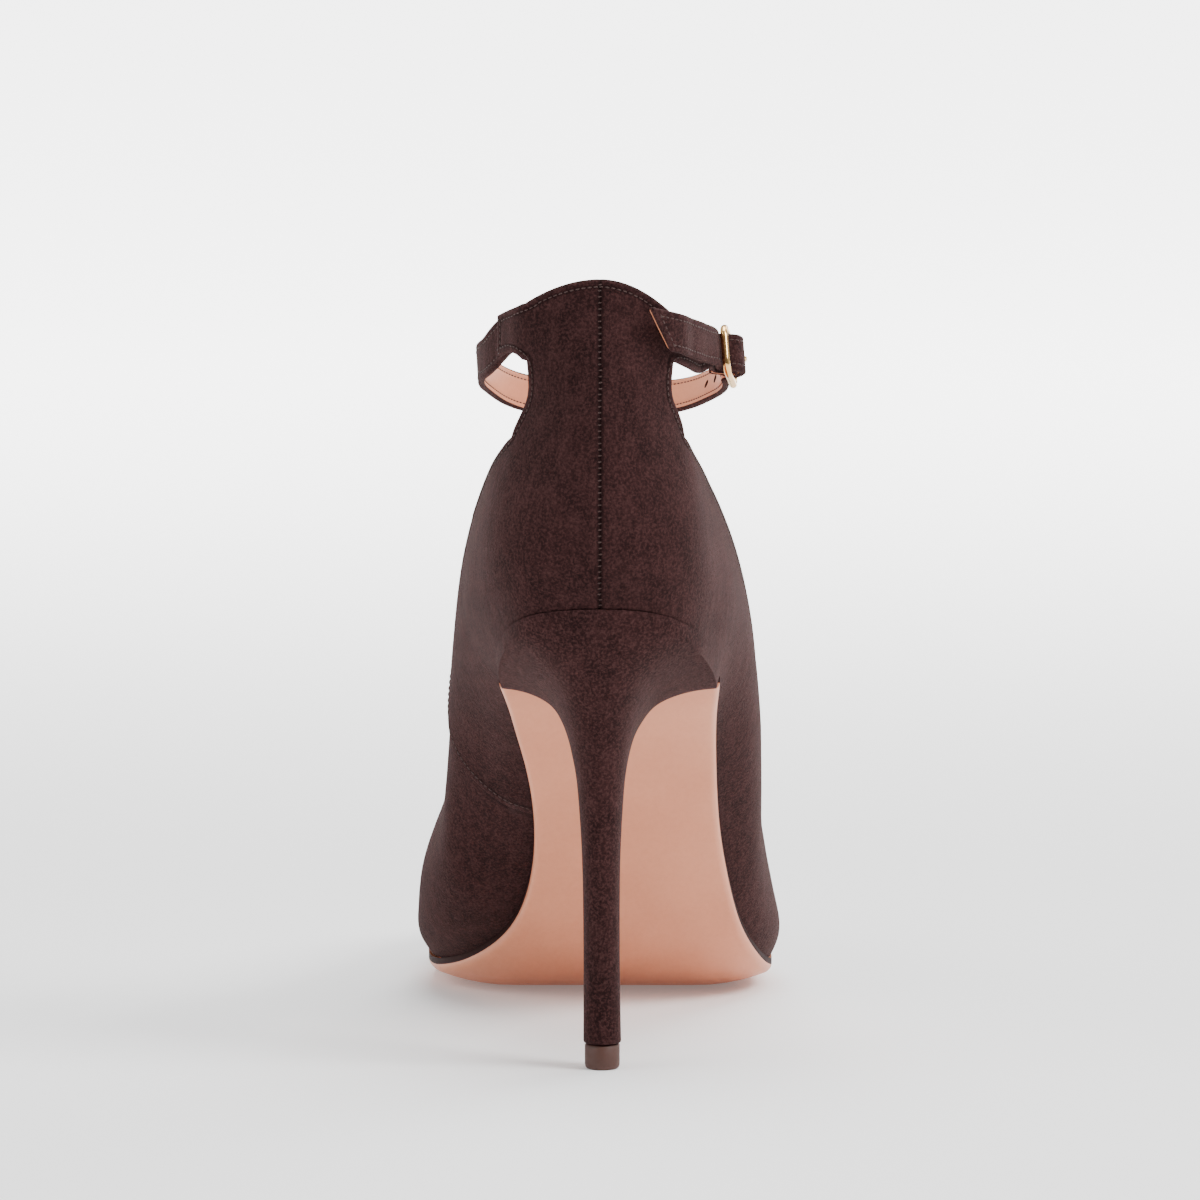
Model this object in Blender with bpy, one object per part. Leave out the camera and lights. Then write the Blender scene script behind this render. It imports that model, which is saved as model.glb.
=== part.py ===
"""High-heeled ankle strap pump, one right shoe, as separate closed solids.

Lengths are in metres. Shoe axes: the foot points along +Y, the outer side of the foot is +X, +Z is up,
and y = 0 is the rearmost point of the feather line, where the upper meets the heel. An empty carries
every piece, so that the centre of the heel tip's underside stands on the world's origin.
"""

import math

import bmesh
import bpy
import numpy as np
from mathutils import Vector

# Last and sole
SOLE_LENGTH = 0.232
BALL_WIDTH = 0.0792
SEAT_WIDTH = 0.0490
SEAT_LENGTH = 0.0385
HEEL_HEIGHT = 0.105
SOLE_THICKNESS = 0.0030
SOLE_BEVEL = 0.0005
EDGE_OVERHANG = 0.0004
OUTSOLE_END = 0.9995
INSOLE_START = 0.004
INSOLE_END = 0.990
TOE_SPRING = 0.0032
CROWN = 0.0034
CROWN_RANGE = 0.0170
INSOLE_THICKNESS = 0.0018
INSOLE_INSET = 0.0025
CLEARANCE = 0.0003

# Heel
TIP_WIDTH = 0.0078
TIP_LENGTH = 0.0084
TIP_HEIGHT = 0.0056
TIP_BACK = 0.0150
TIP_SIDE_SHIFT = 0.0005
COVER_LIP = 0.0003
STEM_TURN = 0.70
STEM_FLATNESS = 0.65
STEM_SQUARENESS = 0.80

# Upper
WALL = 0.0016
SIDE_HEIGHT = 0.0440
COUNTER_HEIGHT = 0.0720
NECK_WIDTH = 0.0322
LAP_STEP = 0.0005
LAP_FADE = 0.12
LAP_AT = -0.425
LAP_COLUMN = 0.0015
NECK_SHARE = 0.11

# Ankle strap
STRAP_WIDTH = 0.0086
STRAP_THICKNESS = 0.0015
ARM_EDGE = 0.0010
FOLD_THICKNESS = 0.0007
LOOP_WIDTH = 0.0540
LOOP_LENGTH = 0.0800
LOOP_BACK = 0.0060
ARM_LEVEL = 0.805
STRAP_DROP = 0.0200
STRAP_RISE = 0.0008
END_LIFT = 0.0022
HOLE_WIDTH = 0.0020
HOLE_LENGTH = 0.0020
HOLE_AHEAD = 0.0016
HOLE_SPACING = 0.0066
SPARE_HOLES = 4

# Buckle
BUCKLE_LENGTH = 0.0150
BUCKLE_HEIGHT = 0.0121
WIRE = 0.0017
BAR_WIRE = 0.0012
BUCKLE_CORNER = 0.0026
PRONG_WIRE = 0.0010
VALLEY_AHEAD = 0.0047
VALLEY_RADIUS = 0.0012

# Sizes that follow from the ones above
FRAME_REACH = (BUCKLE_LENGTH - WIRE) / 2
FOLD_RADIUS = BAR_WIRE / 2 + CLEARANCE + FOLD_THICKNESS
STRAP_GAP = 1.5 * CLEARANCE
STRAP_RADIUS = FOLD_RADIUS + STRAP_GAP + STRAP_THICKNESS / 2
STRAP_LEVEL = -(WIRE / 2 + CLEARANCE + STRAP_THICKNESS / 2)
TAIL_RADIUS = FOLD_RADIUS - 2 * FOLD_THICKNESS - CLEARANCE / 2
TIP_FRONT = TIP_BACK + TIP_LENGTH

# Fineness of the meshes
SIDE_COLUMNS = 31
COLUMN_SPREAD = 0.045
NECK_COLUMNS = 5
NECK_ROWS = 4
HEEL_SIDE_POINTS = 11
BREAST_POINTS = 5
WIRE_SIDES = 12
STRAP_STEP = 0.0028
BAR_STEP = 0.0009
BAR_ZONE = 0.0085
WALL_SHARES = (0.0, 0.035, 0.08, 0.15, 0.25, 0.37, 0.50, 0.63, 0.75, 0.86, 0.94, 1.0)
PLATE_SHARES = (0.0, None, 0.11, 0.25, 0.50, 0.75, 0.89, None, 1.0)

# Slope of the sole down towards the toe: share of the length, degrees
ARCH = (
    (0.000, 26.0),
    (0.108, 27.0),
    (0.207, 31.0),
    (0.323, 47.0),
    (0.431, 50.0),
    (0.509, 36.0),
    (0.569, 13.0),
    (0.612, 0.0),
    (0.690, 0.0),
)
TREAD_START = 0.612
TREAD_END = 0.690
CROWN_START = 0.43
CROWN_FULL = 0.58

# Feather outline: named width that the row follows, share of the length, inner side, outer side
OUTLINE = (
    ("seat", 0.010, 0.262, 0.236),
    ("seat", 0.047, 0.408, 0.408),
    ("seat", 0.103, 0.463, 0.498),
    ("seat", 0.155, 0.459, 0.536),
    ("seat", 0.216, 0.414, 0.529),
    ("ball", 0.267, 0.232, 0.325),
    ("ball", 0.323, 0.198, 0.329),
    ("ball", 0.379, 0.184, 0.343),
    ("ball", 0.418, 0.196, 0.365),
    ("ball", 0.466, 0.250, 0.404),
    ("ball", 0.509, 0.336, 0.449),
    ("ball", 0.552, 0.424, 0.484),
    ("ball", 0.595, 0.481, 0.499),
    ("ball", 0.647, 0.500, 0.491),
    ("ball", 0.711, 0.485, 0.453),
    ("ball", 0.776, 0.439, 0.386),
    ("ball", 0.841, 0.366, 0.295),
    ("ball", 0.905, 0.273, 0.179),
    ("ball", 0.957, 0.187, 0.081),
    ("ball", 0.987, 0.133, 0.009),
)
TOE_SHIFT = -0.066

# Walls from the feather to the topline. around: 0 at the back seam, 1 at the toe, inner side negative.
# top_x is a share of the ball width, top_y of the length, rise of the side height above the feather.
# The four bulges are shares of the straight distance, at the wall's shares in BULGE_AT.
BULGE_AT = (0.08, 0.25, 0.50, 0.75)
WALLS = (
    # around, top_x, top_y, rise, four bulges
    (-0.90, -0.104, 0.711, 1.035, 0.070, 0.085, 0.070, 0.045),
    (-0.80, -0.190, 0.694, 1.040, 0.052, 0.115, 0.140, 0.110),
    (-0.70, -0.278, 0.655, 1.065, 0.050, 0.110, 0.130, 0.095),
    (-0.60, -0.360, 0.591, 1.130, 0.052, 0.072, 0.080, 0.064),
    (-0.50, -0.418, 0.487, 1.020, 0.106, 0.222, 0.232, 0.128),
    (-0.40, -0.414, 0.371, 0.880, 0.078, 0.174, 0.228, 0.162),
    (-0.30, -0.380, 0.241, 0.860, 0.050, 0.125, 0.160, 0.100),
    (-0.20, -0.314, 0.134, 0.950, 0.028, 0.080, 0.100, 0.065),
    (-0.14, -0.277, 0.086, 0.984, 0.025, 0.075, 0.093, 0.055),
    (-0.11, -0.248, 0.067, 1.004, 0.025, 0.075, 0.090, 0.050),
    (0.00, 0.000, -0.001, 0.820, 0.025, 0.080, 0.095, 0.050),
    (0.11, 0.238, 0.067, 1.004, 0.023, 0.070, 0.083, 0.046),
    (0.14, 0.257, 0.086, 0.984, 0.021, 0.066, 0.078, 0.046),
    (0.20, 0.294, 0.134, 0.950, 0.018, 0.062, 0.072, 0.044),
    (0.30, 0.382, 0.241, 0.860, 0.028, 0.088, 0.112, 0.066),
    (0.40, 0.444, 0.371, 0.880, 0.045, 0.138, 0.162, 0.100),
    (0.50, 0.431, 0.487, 1.020, 0.038, 0.075, 0.072, 0.052),
    (0.60, 0.362, 0.591, 1.130, 0.058, 0.086, 0.088, 0.062),
    (0.70, 0.265, 0.655, 1.065, 0.050, 0.110, 0.135, 0.100),
    (0.80, 0.164, 0.694, 1.040, 0.052, 0.115, 0.140, 0.115),
    (0.90, 0.076, 0.711, 1.035, 0.070, 0.085, 0.070, 0.045),
    (1.00, -0.009, 0.716, 1.035, 0.068, 0.070, 0.035, 0.012),
)

# Neck above the sides: share of the counter height at the seam, fall of the line towards the inner and
# the outer edge as shares of the counter height, width as a share of the neck width, y of the seam and
# of the edges as shares of the seat length
NECK = (
    # height, inner_fall, outer_fall, width, seam_y, edge_y
    (0.585, 0.000, 0.000, 1.075, 0.030, 0.360),
    (0.630, 0.000, 0.000, 1.000, 0.055, 0.330),
    (0.760, 0.000, 0.010, 1.010, 0.115, 0.340),
    (0.880, 0.040, 0.065, 1.030, 0.165, 0.345),
    (1.000, 0.083, 0.124, 1.040, 0.205, 0.350),
)

# Arms beyond the neck's edges: share along the arm, x as a share of half the loop width, y as a share
# of the seat length, lower and upper edge as shares of the counter height above the seat's feather
LEFT_ARM = (
    (0.00, -0.632, 0.355, 0.747, 0.918),
    (0.25, -0.690, 0.405, 0.763, 0.905),
    (0.50, -0.745, 0.475, 0.765, 0.893),
    (1.00, -0.840, 0.620, 0.742, 0.868),
)
RIGHT_ARM = (
    (0.00, 0.620, 0.350, 0.744, 0.876),
    (0.40, 0.735, 0.480, 0.717, 0.854),
    (0.75, 0.818, 0.620, 0.694, 0.826),
)
ARM_STATIONS = (0.0, 0.2, 0.4, 0.6, 0.75)
SLOT_FROM = 8

# Strap round the front of the leg: x as a share of half the loop width, y of the loop length in front
# of the seam's top, drop as a share of the strap's drop, lean of the strap's face in degrees
STRAP_ROUTE = (
    (-0.905, 0.318, 0.230, 0.0),
    (-0.975, 0.412, 0.350, -2.0),
    (-0.985, 0.525, 0.470, -4.0),
    (-0.925, 0.656, 0.610, -7.0),
    (-0.777, 0.800, 0.800, -11.0),
    (-0.500, 0.925, 0.950, -16.0),
    (-0.167, 0.991, 1.000, -22.0),
    (0.204, 0.990, 1.015, -30.0),
    (0.537, 0.912, 0.970, -36.0),
    (0.788, 0.787, 0.850, -34.0),
    (0.945, 0.650, 0.690, -22.0),
)

# Free end over the right arm: place along the arm, share of the end's lift and of the strap's rise
FREE_PART = (
    (4, 0.00, 0.3),
    (3, 0.00, 0.6),
    (2, 0.00, 1.0),
    (1, 0.10, 1.0),
    (0, 0.45, 1.0),
)
FREE_END = (0.489, 0.177, 0.851)
BUCKLE_CENTRE = (1.060, 0.388, 0.290)
BUCKLE_FORWARD = (0.130, 0.907, -0.380)
BUCKLE_LEAN = (-0.12, 0.0, 1.0)

# Heel below its rim: levels as shares of the heel height at the back and the front; back_y is 1 at the
# tip's back and 0 at the seat's; front_y and spread are 0 at the tip and 1 at the seat; roundness 0
# keeps the seat's outline and 1 is the stem's
RIM_LEVEL = 0.965
RIM_BACK = 0.020
RIM_SPREAD = 0.985
HEEL = (
    # back level, front level, back_y, front_y, spread, roundness
    (0.935, 0.784, 0.065, 0.840, 0.800, 0.04),
    (0.905, 0.776, 0.125, 0.700, 0.620, 0.12),
    (0.868, 0.757, 0.213, 0.500, 0.413, 0.25),
    (0.830, 0.729, 0.307, 0.340, 0.294, 0.40),
    (0.790, 0.700, 0.400, 0.240, 0.216, 0.55),
    (0.752, 0.670, 0.493, 0.170, 0.160, 0.70),
    (0.714, 0.640, 0.573, 0.120, 0.120, 0.85),
    (0.676, 0.610, 0.647, 0.086, 0.087, 0.95),
    (0.600, 0.547, 0.760, 0.053, 0.051, 1.00),
    (0.524, 0.484, 0.840, 0.033, 0.029, 1.00),
    (0.448, 0.421, 0.893, 0.020, 0.015, 1.00),
    (0.371, 0.357, 0.933, 0.013, 0.009, 1.00),
    (0.171, 0.169, 0.987, 0.002, 0.008, 1.00),
)

COLOURS = {
    "suede": ((0.045, 0.018, 0.016, 1.0), 0.95, 0.0),
    "sole_leather": ((0.55, 0.30, 0.21, 1.0), 0.45, 0.0),
    "lining": ((0.62, 0.38, 0.28, 1.0), 0.60, 0.0),
    "tip": ((0.11, 0.045, 0.035, 1.0), 0.50, 0.0),
    "gold": ((0.90, 0.68, 0.38, 1.0), 0.18, 1.0),
}


def unit(vector):
    """Return the vector at length one."""
    vector = np.asarray(vector, float)
    return vector / np.linalg.norm(vector)


def eased(share):
    """Smooth rise from 0 to 1."""
    share = min(max(share, 0.0), 1.0)
    return share * share * (3 - 2 * share)


class Spline:
    """Natural cubic spline through rows of values, or a closed one when a period is given."""

    def __init__(self, knots, values, period=None):
        knots = np.asarray(knots, float)
        values = np.asarray(values, float)
        self.low, self.period = knots[0], period
        if period is not None:
            knots = np.concatenate([knots - period, knots, knots + period])
            values = np.concatenate([values] * 3)
        self.knots, self.values = knots, values
        count = len(knots)
        steps = np.diff(knots)
        system = np.eye(count)
        right = np.zeros((count,) + values.shape[1:])
        for i in range(1, count - 1):
            system[i, i - 1:i + 2] = steps[i - 1], 2 * (steps[i - 1] + steps[i]), steps[i]
            right[i] = 6 * ((values[i + 1] - values[i]) / steps[i]
                            - (values[i] - values[i - 1]) / steps[i - 1])
        self.bends = np.linalg.solve(system, right)

    def __call__(self, at):
        if self.period is not None:
            at = self.low + (at - self.low) % self.period
        i = int(np.clip(np.searchsorted(self.knots, at) - 1, 0, len(self.knots) - 2))
        step = self.knots[i + 1] - self.knots[i]
        b = (at - self.knots[i]) / step
        a = 1.0 - b
        bend = (a ** 3 - a) * self.bends[i] + (b ** 3 - b) * self.bends[i + 1]
        return a * self.values[i] + b * self.values[i + 1] + bend * step * step / 6


class Monotone:
    """Cubic curve through knots that never overshoots them."""

    def __init__(self, knots, values):
        self.knots, self.values = np.asarray(knots, float), np.asarray(values, float)
        steps = np.diff(self.knots)
        slopes = np.diff(self.values) / steps
        self.tangents = np.zeros(len(self.knots))
        self.tangents[0], self.tangents[-1] = slopes[0], slopes[-1]
        for i in range(1, len(slopes)):
            if slopes[i - 1] * slopes[i] > 0:
                near = 2 * steps[i] + steps[i - 1]
                far = steps[i] + 2 * steps[i - 1]
                self.tangents[i] = (near + far) / (near / slopes[i - 1] + far / slopes[i])

    def __call__(self, at):
        i = int(np.clip(np.searchsorted(self.knots, at) - 1, 0, len(self.knots) - 2))
        step = self.knots[i + 1] - self.knots[i]
        t = (at - self.knots[i]) / step
        rise = t * t * (3 - 2 * t)
        return ((1 - rise) * self.values[i] + rise * self.values[i + 1]
                + step * (t * (1 - t) ** 2 * self.tangents[i] - t * t * (1 - t) * self.tangents[i + 1]))


# The last: bottom, outline and walls


def make_feather():
    """Integrate the sole's slopes from the seat to the tread, scaled to the heel height."""
    slope = Monotone([row[0] for row in ARCH], [row[1] for row in ARCH])
    stations = np.linspace(0.0, TREAD_START, 141)
    falls = np.array([math.tan(math.radians(slope(s))) for s in stations])
    fallen = np.concatenate([[0.0], np.cumsum((falls[1:] + falls[:-1]) / 2)])
    shares = 1.0 - fallen / fallen[-1]
    heights = SOLE_THICKNESS + (HEEL_HEIGHT - SOLE_THICKNESS) * shares

    def feather(y):
        share = y / SOLE_LENGTH
        if share <= TREAD_START:
            return float(np.interp(share, stations, heights)) - min(share, 0.0) * SOLE_LENGTH * falls[0]
        if share <= TREAD_END:
            return SOLE_THICKNESS
        reach = (share - TREAD_END) / (1.0 - TREAD_END)
        return SOLE_THICKNESS + TOE_SPRING * reach ** 1.8

    return feather


FEATHER = make_feather()


def slope_at(y):
    """Fall of the feather line per unit of length at y."""
    step = SOLE_LENGTH / 500
    return (FEATHER(y - step) - FEATHER(y + step)) / (2 * step)


def station(share):
    """Place round the shoe, 0 at the back and 1 at the toe, of a share of the sole's length."""
    return math.acos(1.0 - 2.0 * min(max(share, 0.0), 1.0)) / math.pi


def make_outline():
    """Half widths round the shoe, as one closed curve through the table's rows."""
    widths = {"seat": SEAT_WIDTH, "ball": BALL_WIDTH}
    rows = [(0.0, 0.0), (1.0, TOE_SHIFT * BALL_WIDTH)]
    for follows, share, inner, outer in OUTLINE:
        rows.append((-station(share), -inner * widths[follows]))
        rows.append((station(share), outer * widths[follows]))
    rows.sort()
    return Spline([row[0] for row in rows], [row[1] for row in rows], period=2.0)


EDGE_X = make_outline()


def edge_y(around):
    """Length along the shoe of a place round the feather."""
    return SOLE_LENGTH * (1.0 - math.cos(math.pi * around)) / 2.0


def bottom_height(x, y):
    """Height of the last's bottom; in the forefoot it rounds up towards its edge."""
    share = y / SOLE_LENGTH
    around = station(share)
    inwards = min(x - EDGE_X(-around), EDGE_X(around) - x, SOLE_LENGTH - y)
    near = min(max(1.0 - inwards / CROWN_RANGE, 0.0), 1.0)
    grown = eased((share - CROWN_START) / (CROWN_FULL - CROWN_START))
    return FEATHER(y) + CROWN * grown * near * near


def on_bottom(x, y, level):
    """Point at a distance above the last's bottom, along its slope's normal."""
    fall = slope_at(y)
    size = math.hypot(1.0, fall)
    return np.array([x, y + level * fall / size, bottom_height(x, y) + level / size])


def feather_point(around):
    """Point of the feather line."""
    x, y = EDGE_X(around), edge_y(around)
    return np.array([x, y, bottom_height(x, y)])


def edge_normal(around):
    """Outward direction of the outline, level with the ground."""
    step = 0.004
    across = feather_point(around + step) - feather_point(around - step)
    return unit([across[1], -across[0], 0.0])


def inset_edge(around, inset):
    """Point of the outline moved inwards, in plan, on the last's bottom."""
    point = feather_point(around) - edge_normal(around) * inset
    point[2] = bottom_height(point[0], point[1])
    return point


def make_walls():
    """Closed curves round the shoe for the topline and the four bulges."""
    knots = [row[0] for row in WALLS]
    rows = []
    for _around, x, y, rise, *bulges in WALLS:
        along = y * SOLE_LENGTH
        rows.append([x * BALL_WIDTH, along, FEATHER(along) + rise * SIDE_HEIGHT] + bulges)
    return Spline(knots, rows, period=2.0)


WALL_ROWS = make_walls()


def neck_keys(across):
    """Points up the neck at a place across it, -1 at the inner edge and 1 at the outer edge."""
    keys = []
    for height, inner_fall, outer_fall, width, seam_y, side_y in NECK:
        fall = (inner_fall if across < 0 else outer_fall) * across * across
        x = across * width * NECK_WIDTH / 2
        y = SEAT_LENGTH * (seam_y + (side_y - seam_y) * across * across)
        keys.append(np.array([x, y, HEEL_HEIGHT + COUNTER_HEIGHT * (height - fall)]))
    return keys


def wall_column(around):
    """Spline up the upper's outside at a place round the feather, and the parameter of its end.

    Its parameter is 0 at the feather and 1 at the topline; in the neck it goes on to the counter's top.
    """
    row = WALL_ROWS(around)
    foot = feather_point(around)
    foot[2] += CLEARANCE
    chord = row[:3] - foot
    length = np.linalg.norm(chord)
    along = chord / length
    outward = edge_normal(around)
    normal = unit(outward - along * outward.dot(along))
    knots, points = [0.0], [foot]
    for share, bulge in zip(BULGE_AT, row[3:]):
        knots.append(share)
        points.append(foot + chord * share + normal * bulge * length)
    knots.append(1.0)
    points.append(row[:3])
    if abs(around) <= NECK_SHARE * 1.001:
        for key in neck_keys(around / NECK_SHARE):
            knots.append(knots[-1] + np.linalg.norm(key - points[-1]) / length)
            points.append(key)
    return Spline(knots, points), knots[-1]


# Mesh helpers


def make_material(name):
    """Principled material from the colour table."""
    material = bpy.data.materials.get(name)
    if material is None:
        colour, roughness, metallic = COLOURS[name]
        material = bpy.data.materials.new(name)
        material.use_nodes = True
        shader = material.node_tree.nodes["Principled BSDF"]
        shader.inputs["Base Color"].default_value = colour
        shader.inputs["Roughness"].default_value = roughness
        shader.inputs["Metallic"].default_value = metallic
        material.diffuse_color = colour
    return material


def make_object(name, mesh, material, carrier):
    """Object with one material, carried by the empty, with its faces pointing out."""
    shape = bmesh.new()
    shape.from_mesh(mesh)
    bmesh.ops.recalc_face_normals(shape, faces=shape.faces)
    shape.to_mesh(mesh)
    shape.free()
    mesh.shade_smooth()
    mesh.set_sharp_from_angle(angle=math.radians(40))
    thing = bpy.data.objects.new(name, mesh)
    thing.data.materials.append(make_material(material))
    thing.parent = carrier
    bpy.context.scene.collection.objects.link(thing)
    return thing


class Sheet:
    """Wall of a given thickness behind a grid of outside points; cells may be left out as holes."""

    def __init__(self):
        self.outside, self.thickness, self.inside = {}, {}, {}
        self.cells = []

    def point(self, key, place, thickness=0.0, inside=None):
        """Set an outside point, with its thickness or the point behind it."""
        self.outside[key] = np.asarray(place, float)
        self.thickness[key] = thickness
        if inside is not None:
            self.inside[key] = np.asarray(inside, float)

    def cell(self, *keys):
        """Add a face between outside points."""
        self.cells.append(keys)

    def normals(self):
        """Mean normal of the cells round each point."""
        sums = {key: np.zeros(3) for key in self.outside}
        for keys in self.cells:
            corners = [self.outside[key] for key in keys]
            normal = np.cross(corners[2] - corners[0], corners[-1] - corners[1])
            size = np.linalg.norm(normal)
            if size > 1e-12:
                for key in keys:
                    sums[key] += normal / size
        return {key: unit(total) for key, total in sums.items()}

    def build(self, name):
        """Closed mesh: outside, inside and the rims of all open edges."""
        normals = self.normals()
        order = list(self.outside)
        index = {key: i for i, key in enumerate(order)}
        count = len(order)
        points = [self.outside[key] for key in order]
        for key in order:
            moved = self.outside[key] - normals[key] * self.thickness[key]
            points.append(self.inside.get(key, moved))
        faces, edges = [], {}
        for keys in self.cells:
            corners = [index[key] for key in keys]
            faces.append(corners)
            faces.append([corner + count for corner in reversed(corners)])
            for start, end in zip(corners, corners[1:] + corners[:1]):
                edges[(start, end)] = True
        for start, end in edges:
            if (end, start) not in edges:
                faces.append([end, start, start + count, end + count])
        mesh = bpy.data.meshes.new(name)
        mesh.from_pydata([Vector(p) for p in points], [], faces)
        return mesh


def ladder(loop):
    """Faces across a loop whose points mirror each other left and right of its first point."""
    low, high = 1, len(loop) - 1
    faces = [[loop[0], loop[low], loop[high]]]
    while high - low > 2:
        faces.append([loop[low], loop[low + 1], loop[high - 1], loop[high]])
        low, high = low + 1, high - 1
    faces.append([loop[low], loop[low + 1], loop[high]])
    return faces


def loft(name, loops, closed=False):
    """Closed mesh through loops of points with the same count, with flat ends or joined in a ring."""
    count = len(loops[0])
    points = [Vector(point) for loop in loops for point in loop]
    faces = []
    rows = len(loops)
    for row in range(rows if closed else rows - 1):
        here, there = row * count, (row + 1) % rows * count
        for i in range(count):
            j = (i + 1) % count
            faces.append([here + i, here + j, there + j, there + i])
    if not closed:
        for row in (0, rows - 1):
            faces.extend(ladder([row * count + i for i in range(count)]))
    mesh = bpy.data.meshes.new(name)
    mesh.from_pydata(points, [], faces)
    return mesh


def tube(name, points, radius, closed=False, sides=WIRE_SIDES):
    """Round wire along a path, with flat ends or closed in a ring."""
    count = len(points)
    loops, side = [], None
    for i, point in enumerate(points):
        before = points[i - 1] if closed or i else points[0]
        after = points[(i + 1) % count] if closed or i < count - 1 else points[-1]
        ahead = unit(after - before)
        if side is None:
            side = unit(np.cross(ahead, [0.3, 0.5, 0.8]))
        side = unit(side - ahead * side.dot(ahead))
        other = np.cross(ahead, side)
        turn = [2 * math.pi * k / sides for k in range(sides)]
        loops.append([point + radius * (side * math.cos(a) + other * math.sin(a)) for a in turn])
    return loft(name, loops, closed)


# Sole, insole and heel


def plate_stations(first, last, count):
    """Places round the shoe, evenly spread between two shares of its length."""
    low, high = station(first), station(last)
    return [low + (high - low) * i / (count - 1) for i in range(count)]


def plate(name, stations, inset, top, thickness):
    """Sheet that follows the last's bottom: top above it, thickness along its normal."""
    sheet = Sheet()
    for i, around in enumerate(stations):
        inner, outer = inset_edge(-around, inset), inset_edge(around, inset)
        bevel = SOLE_BEVEL / np.linalg.norm(outer - inner)
        for k, share in enumerate(PLATE_SHARES):
            if share is None:
                share = bevel if k == 1 else 1.0 - bevel
            x, y, _z = inner + (outer - inner) * share
            low = top - thickness
            if k in (0, len(PLATE_SHARES) - 1):
                low += SOLE_BEVEL
            sheet.point((i, k), on_bottom(x, y, low), inside=on_bottom(x, y, top))
            if i and k:
                sheet.cell((i, k - 1), (i, k), (i - 1, k), (i - 1, k - 1))
    return sheet.build(name)


def build_outsole(carrier):
    """Leather sole from the heel's breast to the toe."""
    stations = plate_stations((SEAT_LENGTH + CLEARANCE) / SOLE_LENGTH, TREAD_START, 22)
    stations += plate_stations(TREAD_START, TREAD_END, 4)[1:]
    stations += plate_stations(TREAD_END, OUTSOLE_END, 14)[1:]
    mesh = plate("outsole", stations, -EDGE_OVERHANG, 0.0, SOLE_THICKNESS)
    return make_object("outsole", mesh, "sole_leather", carrier)


def build_insole(carrier):
    """Lined board that closes the inside at the feather."""
    stations = plate_stations(INSOLE_START, INSOLE_END, 40)
    mesh = plate("insole", stations, INSOLE_INSET, CLEARANCE + INSOLE_THICKNESS, INSOLE_THICKNESS)
    return make_object("insole", mesh, "lining", carrier)


def stem_loop(width, back, front, level_back, level_front, shift):
    """Rounded D of the heel's stem, flat towards the toe."""
    loop = []
    side_count, breast_count = HEEL_SIDE_POINTS, BREAST_POINTS
    count = 2 * side_count + 1 + breast_count
    for i in range(count):
        if i <= side_count:
            angle = STEM_TURN * math.pi * i / side_count
        elif i <= side_count + breast_count:
            share = (i - side_count) / (breast_count + 1)
            angle = math.pi * (STEM_TURN + 2 * (1 - STEM_TURN) * share)
        else:
            angle = 2 * math.pi - STEM_TURN * math.pi * (count - i) / side_count
        side, ahead = math.sin(angle), -math.cos(angle)
        if ahead > 0:
            ahead = ahead ** STEM_FLATNESS
            side = math.copysign(abs(side) ** STEM_SQUARENESS, side)
        y = (back + front) / 2 + (front - back) / 2 * ahead
        level = level_back + (level_front - level_back) * (y - back) / (front - back)
        loop.append(np.array([shift + side * width / 2, y, level]))
    return loop


def seat_loop(scale, back, front):
    """Seat's outline from its back, round the outer side, across the breast and back."""
    corner = station(SEAT_LENGTH / SOLE_LENGTH)
    loop = []
    for i in range(HEEL_SIDE_POINTS + 1):
        around = corner * i / HEEL_SIDE_POINTS
        loop.append([EDGE_X(around) * scale, edge_y(around)])
    outer, inner = EDGE_X(corner) * scale, EDGE_X(-corner) * scale
    for i in range(1, BREAST_POINTS + 1):
        loop.append([outer + (inner - outer) * i / (BREAST_POINTS + 1), SEAT_LENGTH])
    for i in range(HEEL_SIDE_POINTS, 0, -1):
        around = corner * i / HEEL_SIDE_POINTS
        loop.append([EDGE_X(-around) * scale, edge_y(around)])
    return [np.array([x, back + (front - back) * y / SEAT_LENGTH, 0.0]) for x, y in loop]


def heel_rim():
    """Row of the heel's table at its rim, whose front leans with the end of the outsole."""
    fall = slope_at(SEAT_LENGTH)
    size = math.hypot(1.0, fall)
    front = SEAT_LENGTH - SOLE_THICKNESS * fall / size
    level = FEATHER(SEAT_LENGTH) - SOLE_THICKNESS / size
    front_y = (front - TIP_FRONT) / (SEAT_LENGTH - TIP_FRONT)
    return (RIM_LEVEL, level / HEEL_HEIGHT, RIM_BACK, front_y, RIM_SPREAD, 0.0)


def heel_loops():
    """Sections of the heel from the seat down to the tip."""
    top = seat_loop(1.0 + 2 * COVER_LIP / SEAT_WIDTH, -COVER_LIP, SEAT_LENGTH)
    for point in top:
        point[2] = FEATHER(point[1])
    loops = [top]
    for level_back, level_front, back_y, front_y, spread, roundness in (heel_rim(),) + HEEL:
        back = TIP_BACK * back_y
        front = TIP_FRONT + (SEAT_LENGTH - TIP_FRONT) * front_y
        width = TIP_WIDTH + (SEAT_WIDTH - TIP_WIDTH) * spread
        shift = TIP_SIDE_SHIFT * (1 - level_back) * roundness
        high, low = HEEL_HEIGHT * level_back, HEEL_HEIGHT * level_front
        seat = seat_loop(width / SEAT_WIDTH, back, front)
        stem = stem_loop(width, back, front, high, low, shift)
        for point in seat:
            point[2] = high + (low - high) * (point[1] - back) / (front - back)
        loops.append([a * (1 - roundness) + b * roundness for a, b in zip(seat, stem)])
    foot = TIP_HEIGHT + CLEARANCE
    loops.append(stem_loop(TIP_WIDTH + 2 * COVER_LIP, TIP_BACK - COVER_LIP, TIP_FRONT + COVER_LIP,
                           foot, foot, TIP_SIDE_SHIFT))
    return loops


def build_heel(carrier):
    """Suede-covered stiletto with its cup and breast."""
    return make_object("heel", loft("heel", heel_loops()), "suede", carrier)


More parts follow.
